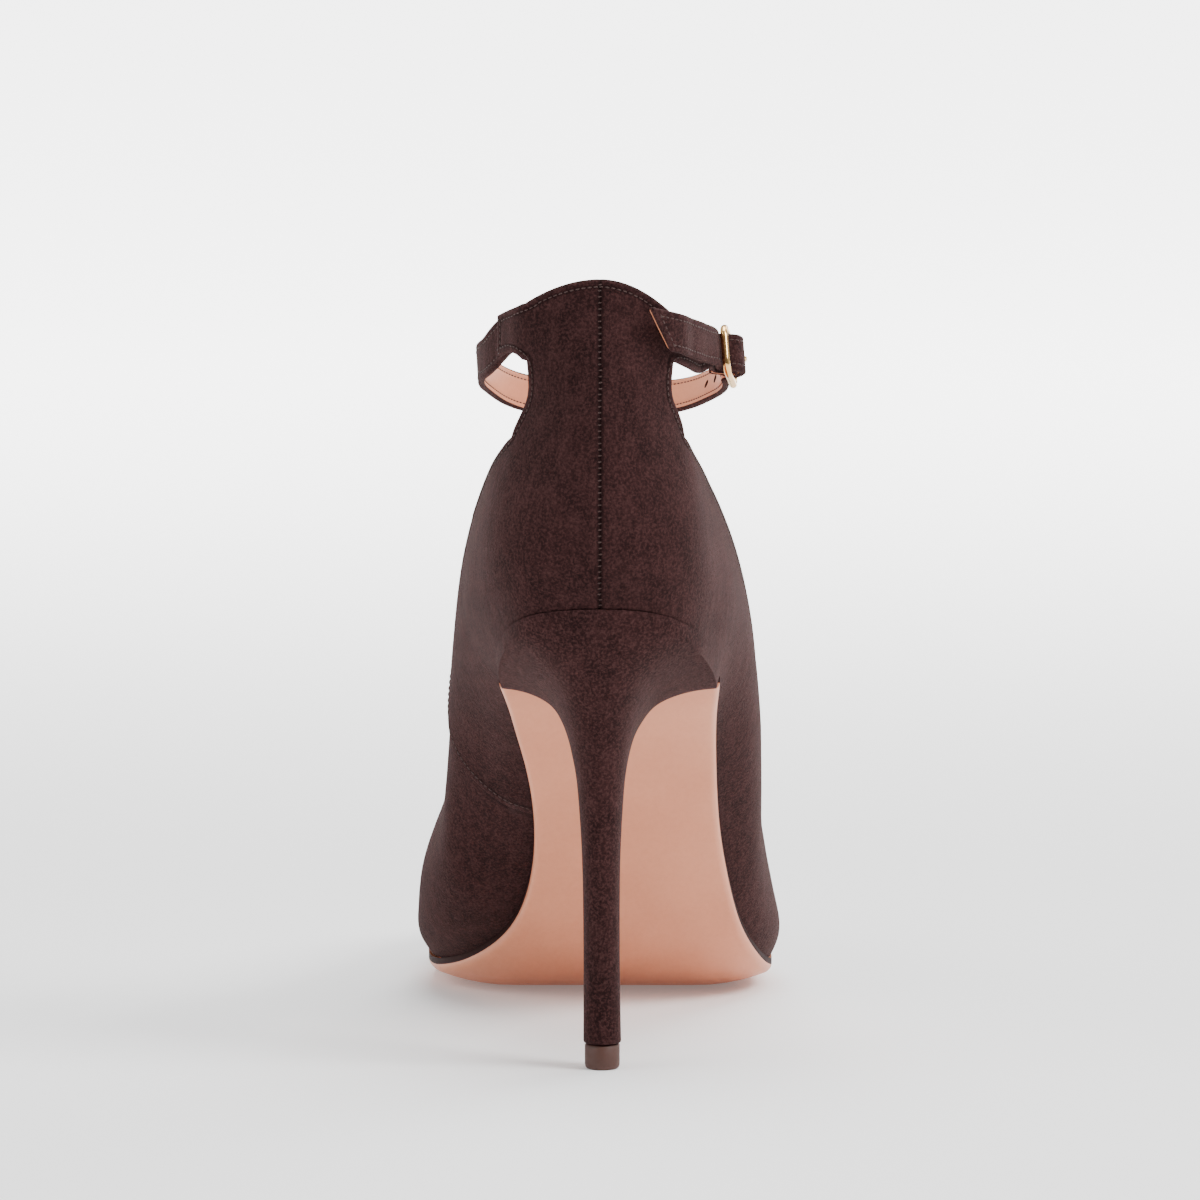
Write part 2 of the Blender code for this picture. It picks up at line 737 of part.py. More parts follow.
def build_top_piece(carrier):
    """Wearing tip under the stem."""
    loops = [
        stem_loop(TIP_WIDTH, TIP_BACK, TIP_FRONT, TIP_HEIGHT, TIP_HEIGHT, TIP_SIDE_SHIFT),
        stem_loop(TIP_WIDTH, TIP_BACK, TIP_FRONT, SOLE_BEVEL, SOLE_BEVEL, TIP_SIDE_SHIFT),
        stem_loop(TIP_WIDTH - 2 * SOLE_BEVEL, TIP_BACK + SOLE_BEVEL, TIP_FRONT - SOLE_BEVEL, 0.0, 0.0,
                  TIP_SIDE_SHIFT),
    ]
    return make_object("top_piece", loft("top_piece", loops), "tip", carrier)


# Upper


def lap_offset(around):
    """How far the quarter stands out over the vamp at the inner side's lap."""
    if around < LAP_AT:
        return 0.0
    return LAP_STEP * max(0.0, 1.0 - (around - LAP_AT) / LAP_FADE)


def around_places():
    """Places of the upper's columns: inner side back from the toe, neck, outer side on to the toe."""
    neck = [NECK_SHARE * i / NECK_COLUMNS for i in range(-NECK_COLUMNS, NECK_COLUMNS + 1)]
    outer = []
    for i in range(1, SIDE_COLUMNS + 1):
        share = i / SIDE_COLUMNS
        share += COLUMN_SPREAD * math.sin(2 * math.pi * share)
        outer.append(NECK_SHARE + (1.0 - NECK_SHARE) * share)
    inner = [-place for place in outer[-2::-1]]
    seam = min(range(len(inner)), key=lambda i: abs(inner[i] - LAP_AT))
    inner[seam] = LAP_AT
    inner.insert(seam, LAP_AT - LAP_COLUMN)
    return inner, neck, outer


def arm_edges(rows):
    """Spline along an arm: x, y, lower and upper level in metres."""
    knots, values = [], []
    for share, x, y, low, high in rows:
        knots.append(share)
        values.append([x * LOOP_WIDTH / 2, y * SEAT_LENGTH, HEEL_HEIGHT + COUNTER_HEIGHT * low,
                       HEEL_HEIGHT + COUNTER_HEIGHT * high])
    return Spline(knots, values)


def band_shares():
    """Rows across the band, with a narrow one in the middle for the prong."""
    edge = (1.0 - HOLE_WIDTH / STRAP_WIDTH) / 2
    return [0.0, edge / 2, edge, 1.0 - edge, 1.0 - edge / 2, 1.0]


def buckle_axes():
    """Centre and axes of the buckle: forward along the strap, up across it and outwards."""
    x, y, drop = BUCKLE_CENTRE
    centre = np.array([x * LOOP_WIDTH / 2, LOOP_BACK + y * LOOP_LENGTH,
                       HEEL_HEIGHT + ARM_LEVEL * COUNTER_HEIGHT - drop * STRAP_DROP])
    forward = unit(BUCKLE_FORWARD)
    lean = np.asarray(BUCKLE_LEAN)
    up = unit(lean - forward * lean.dot(forward))
    return centre, forward, up, np.cross(forward, up)


def bar_wave(radius, pieces=3):
    """Pairs (ahead of the bar, level) from under the frame's end up on to the bar's outer side.

    The path keeps a distance from the bar's axis. All such paths share a valley's centre, so that paths
    of different distances lie against each other.
    """
    total = STRAP_RADIUS + VALLEY_RADIUS
    valley = np.array([VALLEY_AHEAD, STRAP_LEVEL + VALLEY_RADIUS])
    leave = math.atan2(valley[1], valley[0]) + math.acos(total / np.linalg.norm(valley))
    points = []
    for i in range(pieces + 1):
        angle = 1.5 * math.pi + (leave - 0.5 * math.pi) * i / pieces
        points.append(valley + (total - radius) * np.array([math.cos(angle), math.sin(angle)]))
    for i in range(pieces + 1):
        angle = leave + (0.5 * math.pi - leave) * i / pieces
        points.append(radius * np.array([math.cos(angle), math.sin(angle)]))
    return points


def right_arm_path():
    """Outside of the right arm from the neck to the bar and round it: places, up vectors, thicknesses."""
    centre, forward, up, outwards = buckle_axes()
    arm = arm_edges(RIGHT_ARM)
    path = []
    for share in ARM_STATIONS:
        x, y, low, high = arm(share)
        path.append((np.array([x, y, (low + high) / 2]), np.array([0.0, 0.0, high - low]), WALL))
    climb = bar_wave(FOLD_RADIUS)
    span = up * STRAP_WIDTH
    under = centre - forward * FRAME_REACH + outwards * climb[0][1]
    path.append((under, span, (WALL + FOLD_THICKNESS) / 2))
    for ahead, level in climb:
        path.append((centre - forward * ahead + outwards * level, span, FOLD_THICKNESS))
    for i in range(1, 7):
        angle = math.pi / 2 - math.pi * i / 6
        turned = forward * math.cos(angle) + outwards * math.sin(angle)
        path.append((centre + turned * FOLD_RADIUS, span, FOLD_THICKNESS))
    for ahead, level in bar_wave(TAIL_RADIUS)[3:0:-1]:
        path.append((centre - forward * ahead + outwards * level, span, FOLD_THICKNESS))
    return path


def build_upper(carrier):
    """Quarters, high counter and arms as one wall, with the vamp under the quarter's lap."""
    sheet = Sheet()
    inner, neck, outer = around_places()
    places = inner + neck + outer
    for i, around in enumerate(places):
        column, _end = wall_column(around)
        lap = lap_offset(around)
        out = edge_normal(around) * lap
        for row, share in enumerate(WALL_SHARES):
            sheet.point((i, row), column(share) + out, WALL + lap)
        foot = inset_edge(around, WALL)
        foot[2] += CLEARANCE
        sheet.inside[(i, 0)] = foot
    rows = len(WALL_SHARES)
    for i in range(len(places)):
        j = (i + 1) % len(places)
        for row in range(rows - 1):
            sheet.cell((i, row), (j, row), (j, row + 1), (i, row + 1))
    band = add_neck(sheet, len(inner), rows - 1, neck)
    add_left_arm(sheet, len(inner), band)
    add_right_arm(sheet, len(inner) + len(neck) - 1, band)
    return make_object("upper", sheet.build("upper"), "suede", carrier)


def add_neck(sheet, first, base_row, neck):
    """Rows of the neck above the sides; return the row at which the arms' band starts."""
    starts = {True: arm_edges(RIGHT_ARM)(0.0)[2], False: arm_edges(LEFT_ARM)(0.0)[2]}
    for offset, around in enumerate(neck):
        column, top = wall_column(around)
        levels = np.linspace(1.0, top, 41)
        heights = [column(level)[2] for level in levels]
        start = float(np.interp(starts[around > 0], heights, levels))
        marks = [1.0 + (start - 1.0) * k / NECK_ROWS for k in range(1, NECK_ROWS + 1)]
        marks += [start + (top - start) * share for share in band_shares()[1:]]
        i = first + offset
        for k, mark in enumerate(marks):
            sheet.point((i, base_row + 1 + k), column(mark), WALL)
        if offset:
            for row in range(base_row, base_row + len(marks)):
                sheet.cell((i - 1, row), (i, row), (i, row + 1), (i - 1, row + 1))
    return base_row + NECK_ROWS


def add_left_arm(sheet, edge, band_row, steps=5):
    """Arm on the inner side, which thins out towards its end."""
    arm = arm_edges(LEFT_ARM)
    before = [(edge, band_row + k) for k in range(len(band_shares()))]
    for step in range(1, steps + 1):
        share = step / steps
        x, y, low, high = arm(share)
        here = []
        for k, across in enumerate(band_shares()):
            here.append(("left", step, k))
            thickness = WALL + (ARM_EDGE - WALL) * share
            sheet.point(here[k], (x, y, low + (high - low) * across), thickness)
            if k:
                sheet.cell(before[k - 1], before[k], here[k], here[k - 1])
        before = here


def add_right_arm(sheet, edge, band_row):
    """Arm on the outer side, folded round the buckle's bar with a slot for the prong."""
    slot = len(band_shares()) // 2
    before = [(edge, band_row + k) for k in range(len(band_shares()))]
    for step, (place, span, thickness) in enumerate(right_arm_path()):
        if step == 0:
            continue
        here = []
        for k, across in enumerate(band_shares()):
            here.append(("right", step, k))
            sheet.point(here[k], place + span * (across - 0.5), thickness)
            if k and not (k == slot and step > SLOT_FROM):
                sheet.cell(before[k - 1], here[k - 1], here[k], before[k])
        before = here


# Strap, buckle and prong


def strap_keys():
    """Middle of the strap from under the left arm round the front and over the bar to its free end.

    Returns the places with their up vectors, and the index of the place over the bar.
    """
    centre, forward, up, outwards = buckle_axes()
    keys = []
    upright = np.array([0.0, 0.0, 1.0])
    left = arm_edges(LEFT_ARM)
    for share in (0.30, 0.65, 1.0):
        x, y, low, high = left(share)
        ahead = left(share + 0.02) - left(share - 0.02)
        normal = unit([-ahead[1], ahead[0], 0.0])
        depth = WALL + (ARM_EDGE - WALL) * share + CLEARANCE + STRAP_THICKNESS / 2
        keys.append((np.array([x, y, (low + high) / 2]) - normal * depth, upright))
    level = HEEL_HEIGHT + ARM_LEVEL * COUNTER_HEIGHT
    for x, y, drop, lean in STRAP_ROUTE:
        place = np.array([x * LOOP_WIDTH / 2, LOOP_BACK + y * LOOP_LENGTH, level - drop * STRAP_DROP])
        away = unit([place[0] * 0.6, place[1] - LOOP_BACK - LOOP_LENGTH / 2, 0.0])
        keys.append((place, unit(upright - away * math.tan(math.radians(lean)))))
    climb = [(FRAME_REACH, STRAP_LEVEL)] + list(bar_wave(STRAP_RADIUS))
    over = len(keys) + len(climb) - 1
    for side, points in ((1.0, climb), (-1.0, climb[-2::-1])):
        for ahead, height in points:
            keys.append((centre + forward * ahead * side + outwards * height, up))
    arm = [entry[0] for entry in right_arm_path()[:6]]
    for i, lift, rise in FREE_PART:
        ahead = arm[i + 1] - arm[max(i - 1, 0)]
        normal = unit([ahead[1], -ahead[0], 0.0])
        depth = STRAP_GAP + STRAP_THICKNESS / 2 + END_LIFT * lift
        keys.append((arm[i] + normal * depth + upright * STRAP_RISE * rise, upright))
    x, y, height = FREE_END
    end = np.array([x * LOOP_WIDTH / 2, y * SEAT_LENGTH, HEEL_HEIGHT + COUNTER_HEIGHT * height])
    keys.append((end, upright))
    return keys, over


def strap_stations(knots, over, holes):
    """Places along the strap for its cross rows, finer near the bar, with rows at the holes' ends."""
    marks = {0.0, knots[-1], over - BAR_ZONE, over + BAR_ZONE}
    for hole in holes:
        marks.update([hole - HOLE_LENGTH / 2, hole + HOLE_LENGTH / 2])
    marks = sorted(marks)
    stations = []
    for start, end in zip(marks[:-1], marks[1:]):
        fine = abs((start + end) / 2 - over) < BAR_ZONE
        pieces = max(1, round((end - start) / (BAR_STEP if fine else STRAP_STEP)))
        stations += [start + (end - start) * i / pieces for i in range(pieces)]
    stations.append(marks[-1])
    return stations


def build_strap(carrier):
    """Strap with the hole in use and the spare ones in front of it."""
    keys, over = strap_keys()
    places = np.array([key[0] for key in keys])
    knots = np.concatenate([[0.0], np.cumsum(np.linalg.norm(np.diff(places, axis=0), axis=1))])
    route = Spline(knots, places)
    upwards = Spline(knots, [key[1] for key in keys])
    holes = [knots[over] - HOLE_AHEAD - HOLE_SPACING * i for i in range(SPARE_HOLES + 1)]
    stations = strap_stations(knots, knots[over], holes)
    slot = HOLE_WIDTH / STRAP_WIDTH
    nudge = BAR_STEP / 3
    sheet = Sheet()
    for i, at in enumerate(stations):
        ahead = unit(route(at + nudge) - route(at - nudge))
        up = upwards(at)
        up = unit(up - ahead * up.dot(ahead))
        half = np.cross(up, ahead) * STRAP_THICKNESS / 2
        middle = (at + stations[i - 1]) / 2
        pierced = any(abs(middle - hole) < HOLE_LENGTH / 2 for hole in holes)
        for k, share in enumerate((-0.5, -slot / 2, slot / 2, 0.5)):
            place = route(at) + up * STRAP_WIDTH * share
            sheet.point((i, k), place + half, inside=place - half)
            if i and k and not (k == 2 and pierced):
                sheet.cell((i - 1, k - 1), (i - 1, k), (i, k), (i, k - 1))
    return make_object("strap", sheet.build("strap"), "suede", carrier)


def build_buckle(carrier):
    """Gold frame with its centre bar."""
    centre, forward, up, _outwards = buckle_axes()
    half_height = (BUCKLE_HEIGHT - WIRE) / 2
    path = []
    for turn, (ahead, rise) in enumerate(((1, 1), (-1, 1), (-1, -1), (1, -1))):
        middle = (centre + forward * ahead * (FRAME_REACH - BUCKLE_CORNER)
                  + up * rise * (half_height - BUCKLE_CORNER))
        for k in range(6):
            angle = math.pi / 2 * (turn + k / 5)
            path.append(middle + BUCKLE_CORNER * (forward * math.cos(angle) + up * math.sin(angle)))
    frame = make_object("buckle_frame", tube("buckle_frame", path, WIRE / 2, closed=True), "gold", carrier)
    ends = [centre - up * half_height, centre + up * half_height]
    bar = make_object("bar_core", tube("bar_core", ends, BAR_WIRE / 2), "gold", carrier)
    bar.hide_render = True
    bar.display_type = "WIRE"
    join = frame.modifiers.new("join_bar", "BOOLEAN")
    join.operation = "UNION"
    join.solver = "EXACT"
    join.object = bar
    return frame


def build_prong(carrier):
    """Prong hooked round the bar, up through the strap and down on to the frame's front."""
    centre, forward, _up, outwards = buckle_axes()
    hook = BAR_WIRE / 2 + CLEARANCE + PRONG_WIRE / 2
    path = []
    for k in range(10):
        angle = math.radians(170 + 225 * k / 9)
        path.append((hook * math.cos(angle), hook * math.sin(angle)))
    leave = HOLE_AHEAD / STRAP_RADIUS
    for radius, extra in ((hook * 1.25, 0.10), (STRAP_RADIUS * 0.89, 0.02), (STRAP_RADIUS * 1.17, 0.01)):
        path.append((radius * math.sin(leave + extra), radius * math.cos(leave + extra)))
    crest = STRAP_RADIUS + STRAP_THICKNESS / 2 - PRONG_WIRE * 0.3
    rest = (WIRE + PRONG_WIRE) / 2 + CLEARANCE
    path += [
        (FRAME_REACH * 0.37, crest),
        (FRAME_REACH * 0.50, crest),
        (FRAME_REACH * 0.76, rest + (crest - rest) * 0.48),
        (FRAME_REACH, rest),
        (FRAME_REACH + WIRE * 0.6, rest * 0.8),
    ]
    points = [centre + forward * ahead + outwards * level for ahead, level in path]
    return make_object("prong", tube("prong", points, PRONG_WIRE / 2, sides=8), "gold", carrier)


def main():
    """Clear the scene and build every piece on one carrier."""
    for thing in list(bpy.data.objects):
        bpy.data.objects.remove(thing)
    carrier = bpy.data.objects.new("shoe", None)
    carrier.location = (-TIP_SIDE_SHIFT, -(TIP_BACK + TIP_LENGTH / 2), 0.0)
    bpy.context.scene.collection.objects.link(carrier)
    build_outsole(carrier)
    build_insole(carrier)
    build_heel(carrier)
    build_top_piece(carrier)
    build_upper(carrier)
    build_strap(carrier)
    build_buckle(carrier)
    build_prong(carrier)


main()
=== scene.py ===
"""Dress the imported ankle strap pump: fine suede, linings, seams, stitches and buckle over its fixed frame.

Lengths are in metres. Shoe axes: the foot points along +Y, the outer side of the foot is +X, +Z is up, and
y = 0 is the rearmost point of the feather line. Each mesh is moved to the frame's own origin as it is made.
"""

import logging
import math
from dataclasses import dataclass, field
from enum import Enum
from typing import Any, Callable, Iterable, Sequence

import bmesh
import bpy
import numpy as np
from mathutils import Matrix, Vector, noise
from mathutils.bvhtree import BVHTree
from mathutils.kdtree import KDTree

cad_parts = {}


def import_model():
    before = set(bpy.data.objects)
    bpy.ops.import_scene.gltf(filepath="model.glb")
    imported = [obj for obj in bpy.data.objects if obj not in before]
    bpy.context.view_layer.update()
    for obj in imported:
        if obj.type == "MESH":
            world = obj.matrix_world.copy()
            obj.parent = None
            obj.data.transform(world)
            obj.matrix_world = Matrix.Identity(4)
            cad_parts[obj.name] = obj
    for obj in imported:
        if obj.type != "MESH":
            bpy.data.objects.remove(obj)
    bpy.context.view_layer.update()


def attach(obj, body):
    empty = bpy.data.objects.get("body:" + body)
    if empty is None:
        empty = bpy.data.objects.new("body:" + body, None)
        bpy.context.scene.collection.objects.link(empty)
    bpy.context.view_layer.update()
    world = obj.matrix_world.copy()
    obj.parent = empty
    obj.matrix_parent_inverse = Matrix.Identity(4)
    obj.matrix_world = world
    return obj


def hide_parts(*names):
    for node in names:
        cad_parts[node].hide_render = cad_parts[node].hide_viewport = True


LOG = logging.getLogger("pump")
ORIGIN = np.array([-0.0005, -0.0192, 0.0])

# Slope of the sole down towards the toe: share of the length, degrees
ARCH = (
    (0.000, 26.0), (0.108, 27.0), (0.207, 31.0), (0.323, 47.0), (0.431, 50.0),
    (0.509, 36.0), (0.569, 13.0), (0.612, 0.0), (0.690, 0.0),
)

# Feather outline: named width that the row follows, share of the length, inner side, outer side
OUTLINE = (
    ("seat", 0.010, 0.262, 0.236), ("seat", 0.047, 0.408, 0.408), ("seat", 0.103, 0.463, 0.498),
    ("seat", 0.155, 0.459, 0.536), ("seat", 0.216, 0.414, 0.529), ("ball", 0.267, 0.232, 0.325),
    ("ball", 0.323, 0.198, 0.329), ("ball", 0.379, 0.184, 0.343), ("ball", 0.418, 0.196, 0.365),
    ("ball", 0.466, 0.250, 0.404), ("ball", 0.509, 0.336, 0.449), ("ball", 0.552, 0.424, 0.484),
    ("ball", 0.595, 0.481, 0.499), ("ball", 0.647, 0.500, 0.491), ("ball", 0.711, 0.485, 0.453),
    ("ball", 0.776, 0.439, 0.386), ("ball", 0.841, 0.366, 0.295), ("ball", 0.905, 0.273, 0.179),
    ("ball", 0.957, 0.187, 0.081), ("ball", 0.987, 0.133, 0.009),
)

# Walls: place round the shoe, topline x as a share of the ball width, y of the length, rise of the side
# height, then four bulges as shares of the straight distance, at the wall's shares in BULGE_AT
BULGE_AT = (0.08, 0.25, 0.50, 0.75)
WALLS = (
    (-0.90, -0.104, 0.711, 1.035, 0.070, 0.085, 0.070, 0.045),
    (-0.80, -0.190, 0.694, 1.040, 0.052, 0.115, 0.140, 0.110),
    (-0.70, -0.278, 0.655, 1.065, 0.050, 0.110, 0.130, 0.095),
    (-0.60, -0.360, 0.591, 1.130, 0.052, 0.072, 0.080, 0.064),
    (-0.50, -0.418, 0.487, 1.020, 0.106, 0.222, 0.232, 0.128),
    (-0.40, -0.414, 0.371, 0.880, 0.078, 0.174, 0.228, 0.162),
    (-0.30, -0.380, 0.241, 0.860, 0.050, 0.125, 0.160, 0.100),
    (-0.20, -0.314, 0.134, 0.950, 0.028, 0.080, 0.100, 0.065),
    (-0.14, -0.277, 0.086, 0.984, 0.025, 0.075, 0.093, 0.055),
    (-0.11, -0.248, 0.067, 1.004, 0.025, 0.075, 0.090, 0.050),
    (0.00, 0.000, -0.001, 0.820, 0.025, 0.080, 0.095, 0.050),
    (0.11, 0.238, 0.067, 1.004, 0.023, 0.070, 0.083, 0.046),
    (0.14, 0.257, 0.086, 0.984, 0.021, 0.066, 0.078, 0.046),
    (0.20, 0.294, 0.134, 0.950, 0.018, 0.062, 0.072, 0.044),
    (0.30, 0.382, 0.241, 0.860, 0.028, 0.088, 0.112, 0.066),
    (0.40, 0.444, 0.371, 0.880, 0.045, 0.138, 0.162, 0.100),
    (0.50, 0.431, 0.487, 1.020, 0.038, 0.075, 0.072, 0.052),
    (0.60, 0.362, 0.591, 1.130, 0.058, 0.086, 0.088, 0.062),
    (0.70, 0.265, 0.655, 1.065, 0.050, 0.110, 0.135, 0.100),
    (0.80, 0.164, 0.694, 1.040, 0.052, 0.115, 0.140, 0.115),
    (0.90, 0.076, 0.711, 1.035, 0.070, 0.085, 0.070, 0.045),
    (1.00, -0.009, 0.716, 1.035, 0.068, 0.070, 0.035, 0.012),
)

# Neck: share of the counter height at the seam, fall towards the inner and outer edge, width, y of the
# seam and of the edges as shares of the seat length
NECK = (
    (0.585, 0.000, 0.000, 1.075, 0.030, 0.360),
    (0.630, 0.000, 0.000, 1.000, 0.055, 0.330),
    (0.760, 0.000, 0.010, 1.010, 0.115, 0.340),
    (0.880, 0.040, 0.065, 1.030, 0.165, 0.345),
    (1.000, 0.083, 0.124, 1.040, 0.205, 0.350),
)

# Arms: share along the arm, x as a share of half the loop width, y of the seat length, lower and upper edge
LEFT_ARM = (
    (0.00, -0.632, 0.355, 0.747, 0.918), (0.25, -0.690, 0.405, 0.763, 0.905),
    (0.50, -0.745, 0.475, 0.765, 0.893), (1.00, -0.840, 0.620, 0.742, 0.868),
)
RIGHT_ARM = (
    (0.00, 0.620, 0.350, 0.744, 0.876), (0.40, 0.735, 0.480, 0.717, 0.854), (0.75, 0.818, 0.620, 0.694, 0.826),
)

# Places along the right arm before its fold, and corners along the strap's rounded edge in radians
ARM_STATIONS = (0.0, 0.2, 0.4, 0.6, 0.75)
EDGE_ANGLES = (0.42, 0.95, 1.57, 2.19, 2.72)

# Strap round the front of the leg: x of half the loop width, y of the loop length, drop, lean in degrees
STRAP_ROUTE = (
    (-0.905, 0.318, 0.230, 0.0), (-0.975, 0.412, 0.350, -2.0), (-0.985, 0.525, 0.470, -4.0),
    (-0.925, 0.656, 0.610, -7.0), (-0.777, 0.800, 0.800, -11.0), (-0.500, 0.925, 0.950, -16.0),
    (-0.167, 0.991, 1.000, -22.0), (0.204, 0.990, 1.015, -30.0), (0.537, 0.912, 0.970, -36.0),
    (0.788, 0.787, 0.850, -34.0), (0.945, 0.650, 0.690, -22.0),
)

# Free end over the right arm: place along the arm, share of the end's lift
FREE_PART = ((4, 0.00), (3, 0.00), (2, 0.00), (1, 0.10), (0, 0.45))

# Heel below its rim: back level, front level, back y, front y, spread, roundness
HEEL = (
    (0.935, 0.784, 0.065, 0.840, 0.800, 0.04), (0.905, 0.776, 0.125, 0.700, 0.620, 0.12),
    (0.868, 0.757, 0.213, 0.500, 0.413, 0.25), (0.830, 0.729, 0.307, 0.340, 0.294, 0.40),
    (0.790, 0.700, 0.400, 0.240, 0.216, 0.55), (0.752, 0.670, 0.493, 0.170, 0.160, 0.70),
    (0.714, 0.640, 0.573, 0.120, 0.120, 0.85), (0.676, 0.610, 0.647, 0.086, 0.087, 0.95),
    (0.600, 0.547, 0.760, 0.053, 0.051, 1.00), (0.524, 0.484, 0.840, 0.033, 0.029, 1.00),
    (0.448, 0.421, 0.893, 0.020, 0.015, 1.00), (0.371, 0.357, 0.933, 0.013, 0.009, 1.00),
    (0.171, 0.169, 0.987, 0.002, 0.008, 1.00),
)

# Creases in the worn-in quarters as seen from behind: x and z of both ends, width, height
CREASES = (
    (-0.0232, 0.1385, -0.0262, 0.1275, 0.0016, 0.00035),
    (-0.0262, 0.1275, -0.0272, 0.1180, 0.0022, 0.00018),
    (-0.0205, 0.1420, -0.0222, 0.1330, 0.0012, -0.00025),
    (0.0198, 0.1375, 0.0232, 0.1305, 0.0016, 0.00035),
    (0.0232, 0.1305, 0.0250, 0.1200, 0.0022, 0.00018),
    (0.0186, 0.1425, 0.0208, 0.1330, 0.0012, -0.00022),
)


def unit(vector: Sequence[float]) -> np.ndarray:
    """Return the vector at length one."""
    vector = np.asarray(vector, float)
    return vector / np.linalg.norm(vector)


def eased(share: float) -> float:
    """Return a smooth rise from 0 to 1."""
    share = min(max(share, 0.0), 1.0)
    return share * share * (3 - 2 * share)


def bell(distance: float, width: float) -> float:
    """Return a soft bump of height one, that is a third as high at the width."""
    return math.exp(-((distance / width) ** 2))


class Spline:
    """Natural cubic spline through rows of values, or a closed one when a period is given."""

    def __init__(self, knots: Sequence[float], values: Sequence[Any], period: float | None = None) -> None:
        """Solve for the bends at the knots.

        Args:
            knots: rising places of the rows.
            values: a number or an array for each knot.
            period: distance after which a closed curve repeats.
        """
        knots = np.asarray(knots, float)
        values = np.asarray(values, float)
        self.low, self.period = knots[0], period
        if period is not None:
            knots = np.concatenate([knots - period, knots, knots + period])
            values = np.concatenate([values] * 3)
        self.knots, self.values = knots, values
        count = len(knots)
        steps = np.diff(knots)
        system = np.eye(count)
        right = np.zeros((count, max(1, values[0].size)))
        flat = values.reshape(count, -1)
        for i in range(1, count - 1):
            system[i, i - 1:i + 2] = steps[i - 1], 2 * (steps[i - 1] + steps[i]), steps[i]
            right[i] = 6 * ((flat[i + 1] - flat[i]) / steps[i] - (flat[i] - flat[i - 1]) / steps[i - 1])
        self.bends = np.linalg.solve(system, right).reshape(values.shape)

    def __call__(self, at: float) -> Any:
        """Return the value at a place along the spline."""
        if self.period is not None:
            at = self.low + (at - self.low) % self.period
        i = int(np.clip(np.searchsorted(self.knots, at) - 1, 0, len(self.knots) - 2))
        step = self.knots[i + 1] - self.knots[i]
        b = (at - self.knots[i]) / step
        a = 1.0 - b
        bend = (a ** 3 - a) * self.bends[i] + (b ** 3 - b) * self.bends[i + 1]
        return a * self.values[i] + b * self.values[i + 1] + bend * step * step / 6


class Route(Spline):
    """Spline through places in space, whose parameter is the distance along them."""

    def __init__(self, places: Sequence[np.ndarray]) -> None:
        """Measure the places and join them.

        Args:
            places: points in order.
        """
        steps = np.linalg.norm(np.diff(np.asarray(places), axis=0), axis=1)
        knots = np.concatenate([[0.0], np.cumsum(steps)])
        super().__init__(knots, places)

    @property
    def length(self) -> float:
        """Length of the route."""
        return float(self.knots[-1])

    def ahead(self, at: float, step: float = 0.0002) -> np.ndarray:
        """Return the direction of travel at a distance along the route."""
        return unit(self(at + step) - self(at - step))


class Monotone:
    """Cubic curve through knots that never overshoots them."""

    def __init__(self, knots: Sequence[float], values: Sequence[float]) -> None:
        """Work out the tangents.

        Args:
            knots: rising places.
            values: a number for each knot.
        """
        self.knots, self.values = np.asarray(knots, float), np.asarray(values, float)
        steps = np.diff(self.knots)
        slopes = np.diff(self.values) / steps
        self.tangents = np.zeros(len(self.knots))
        self.tangents[0], self.tangents[-1] = slopes[0], slopes[-1]
        for i in range(1, len(slopes)):
            if slopes[i - 1] * slopes[i] > 0:
                near, far = 2 * steps[i] + steps[i - 1], steps[i] + 2 * steps[i - 1]
                self.tangents[i] = (near + far) / (near / slopes[i - 1] + far / slopes[i])

    def __call__(self, at: float) -> float:
        """Return the value at a place."""
        i = int(np.clip(np.searchsorted(self.knots, at) - 1, 0, len(self.knots) - 2))
        step = self.knots[i + 1] - self.knots[i]
        t = (at - self.knots[i]) / step
        rise = t * t * (3 - 2 * t)
        sway = t * (1 - t) ** 2 * self.tangents[i] - t * t * (1 - t) * self.tangents[i + 1]
        return float((1 - rise) * self.values[i] + rise * self.values[i + 1] + step * sway)


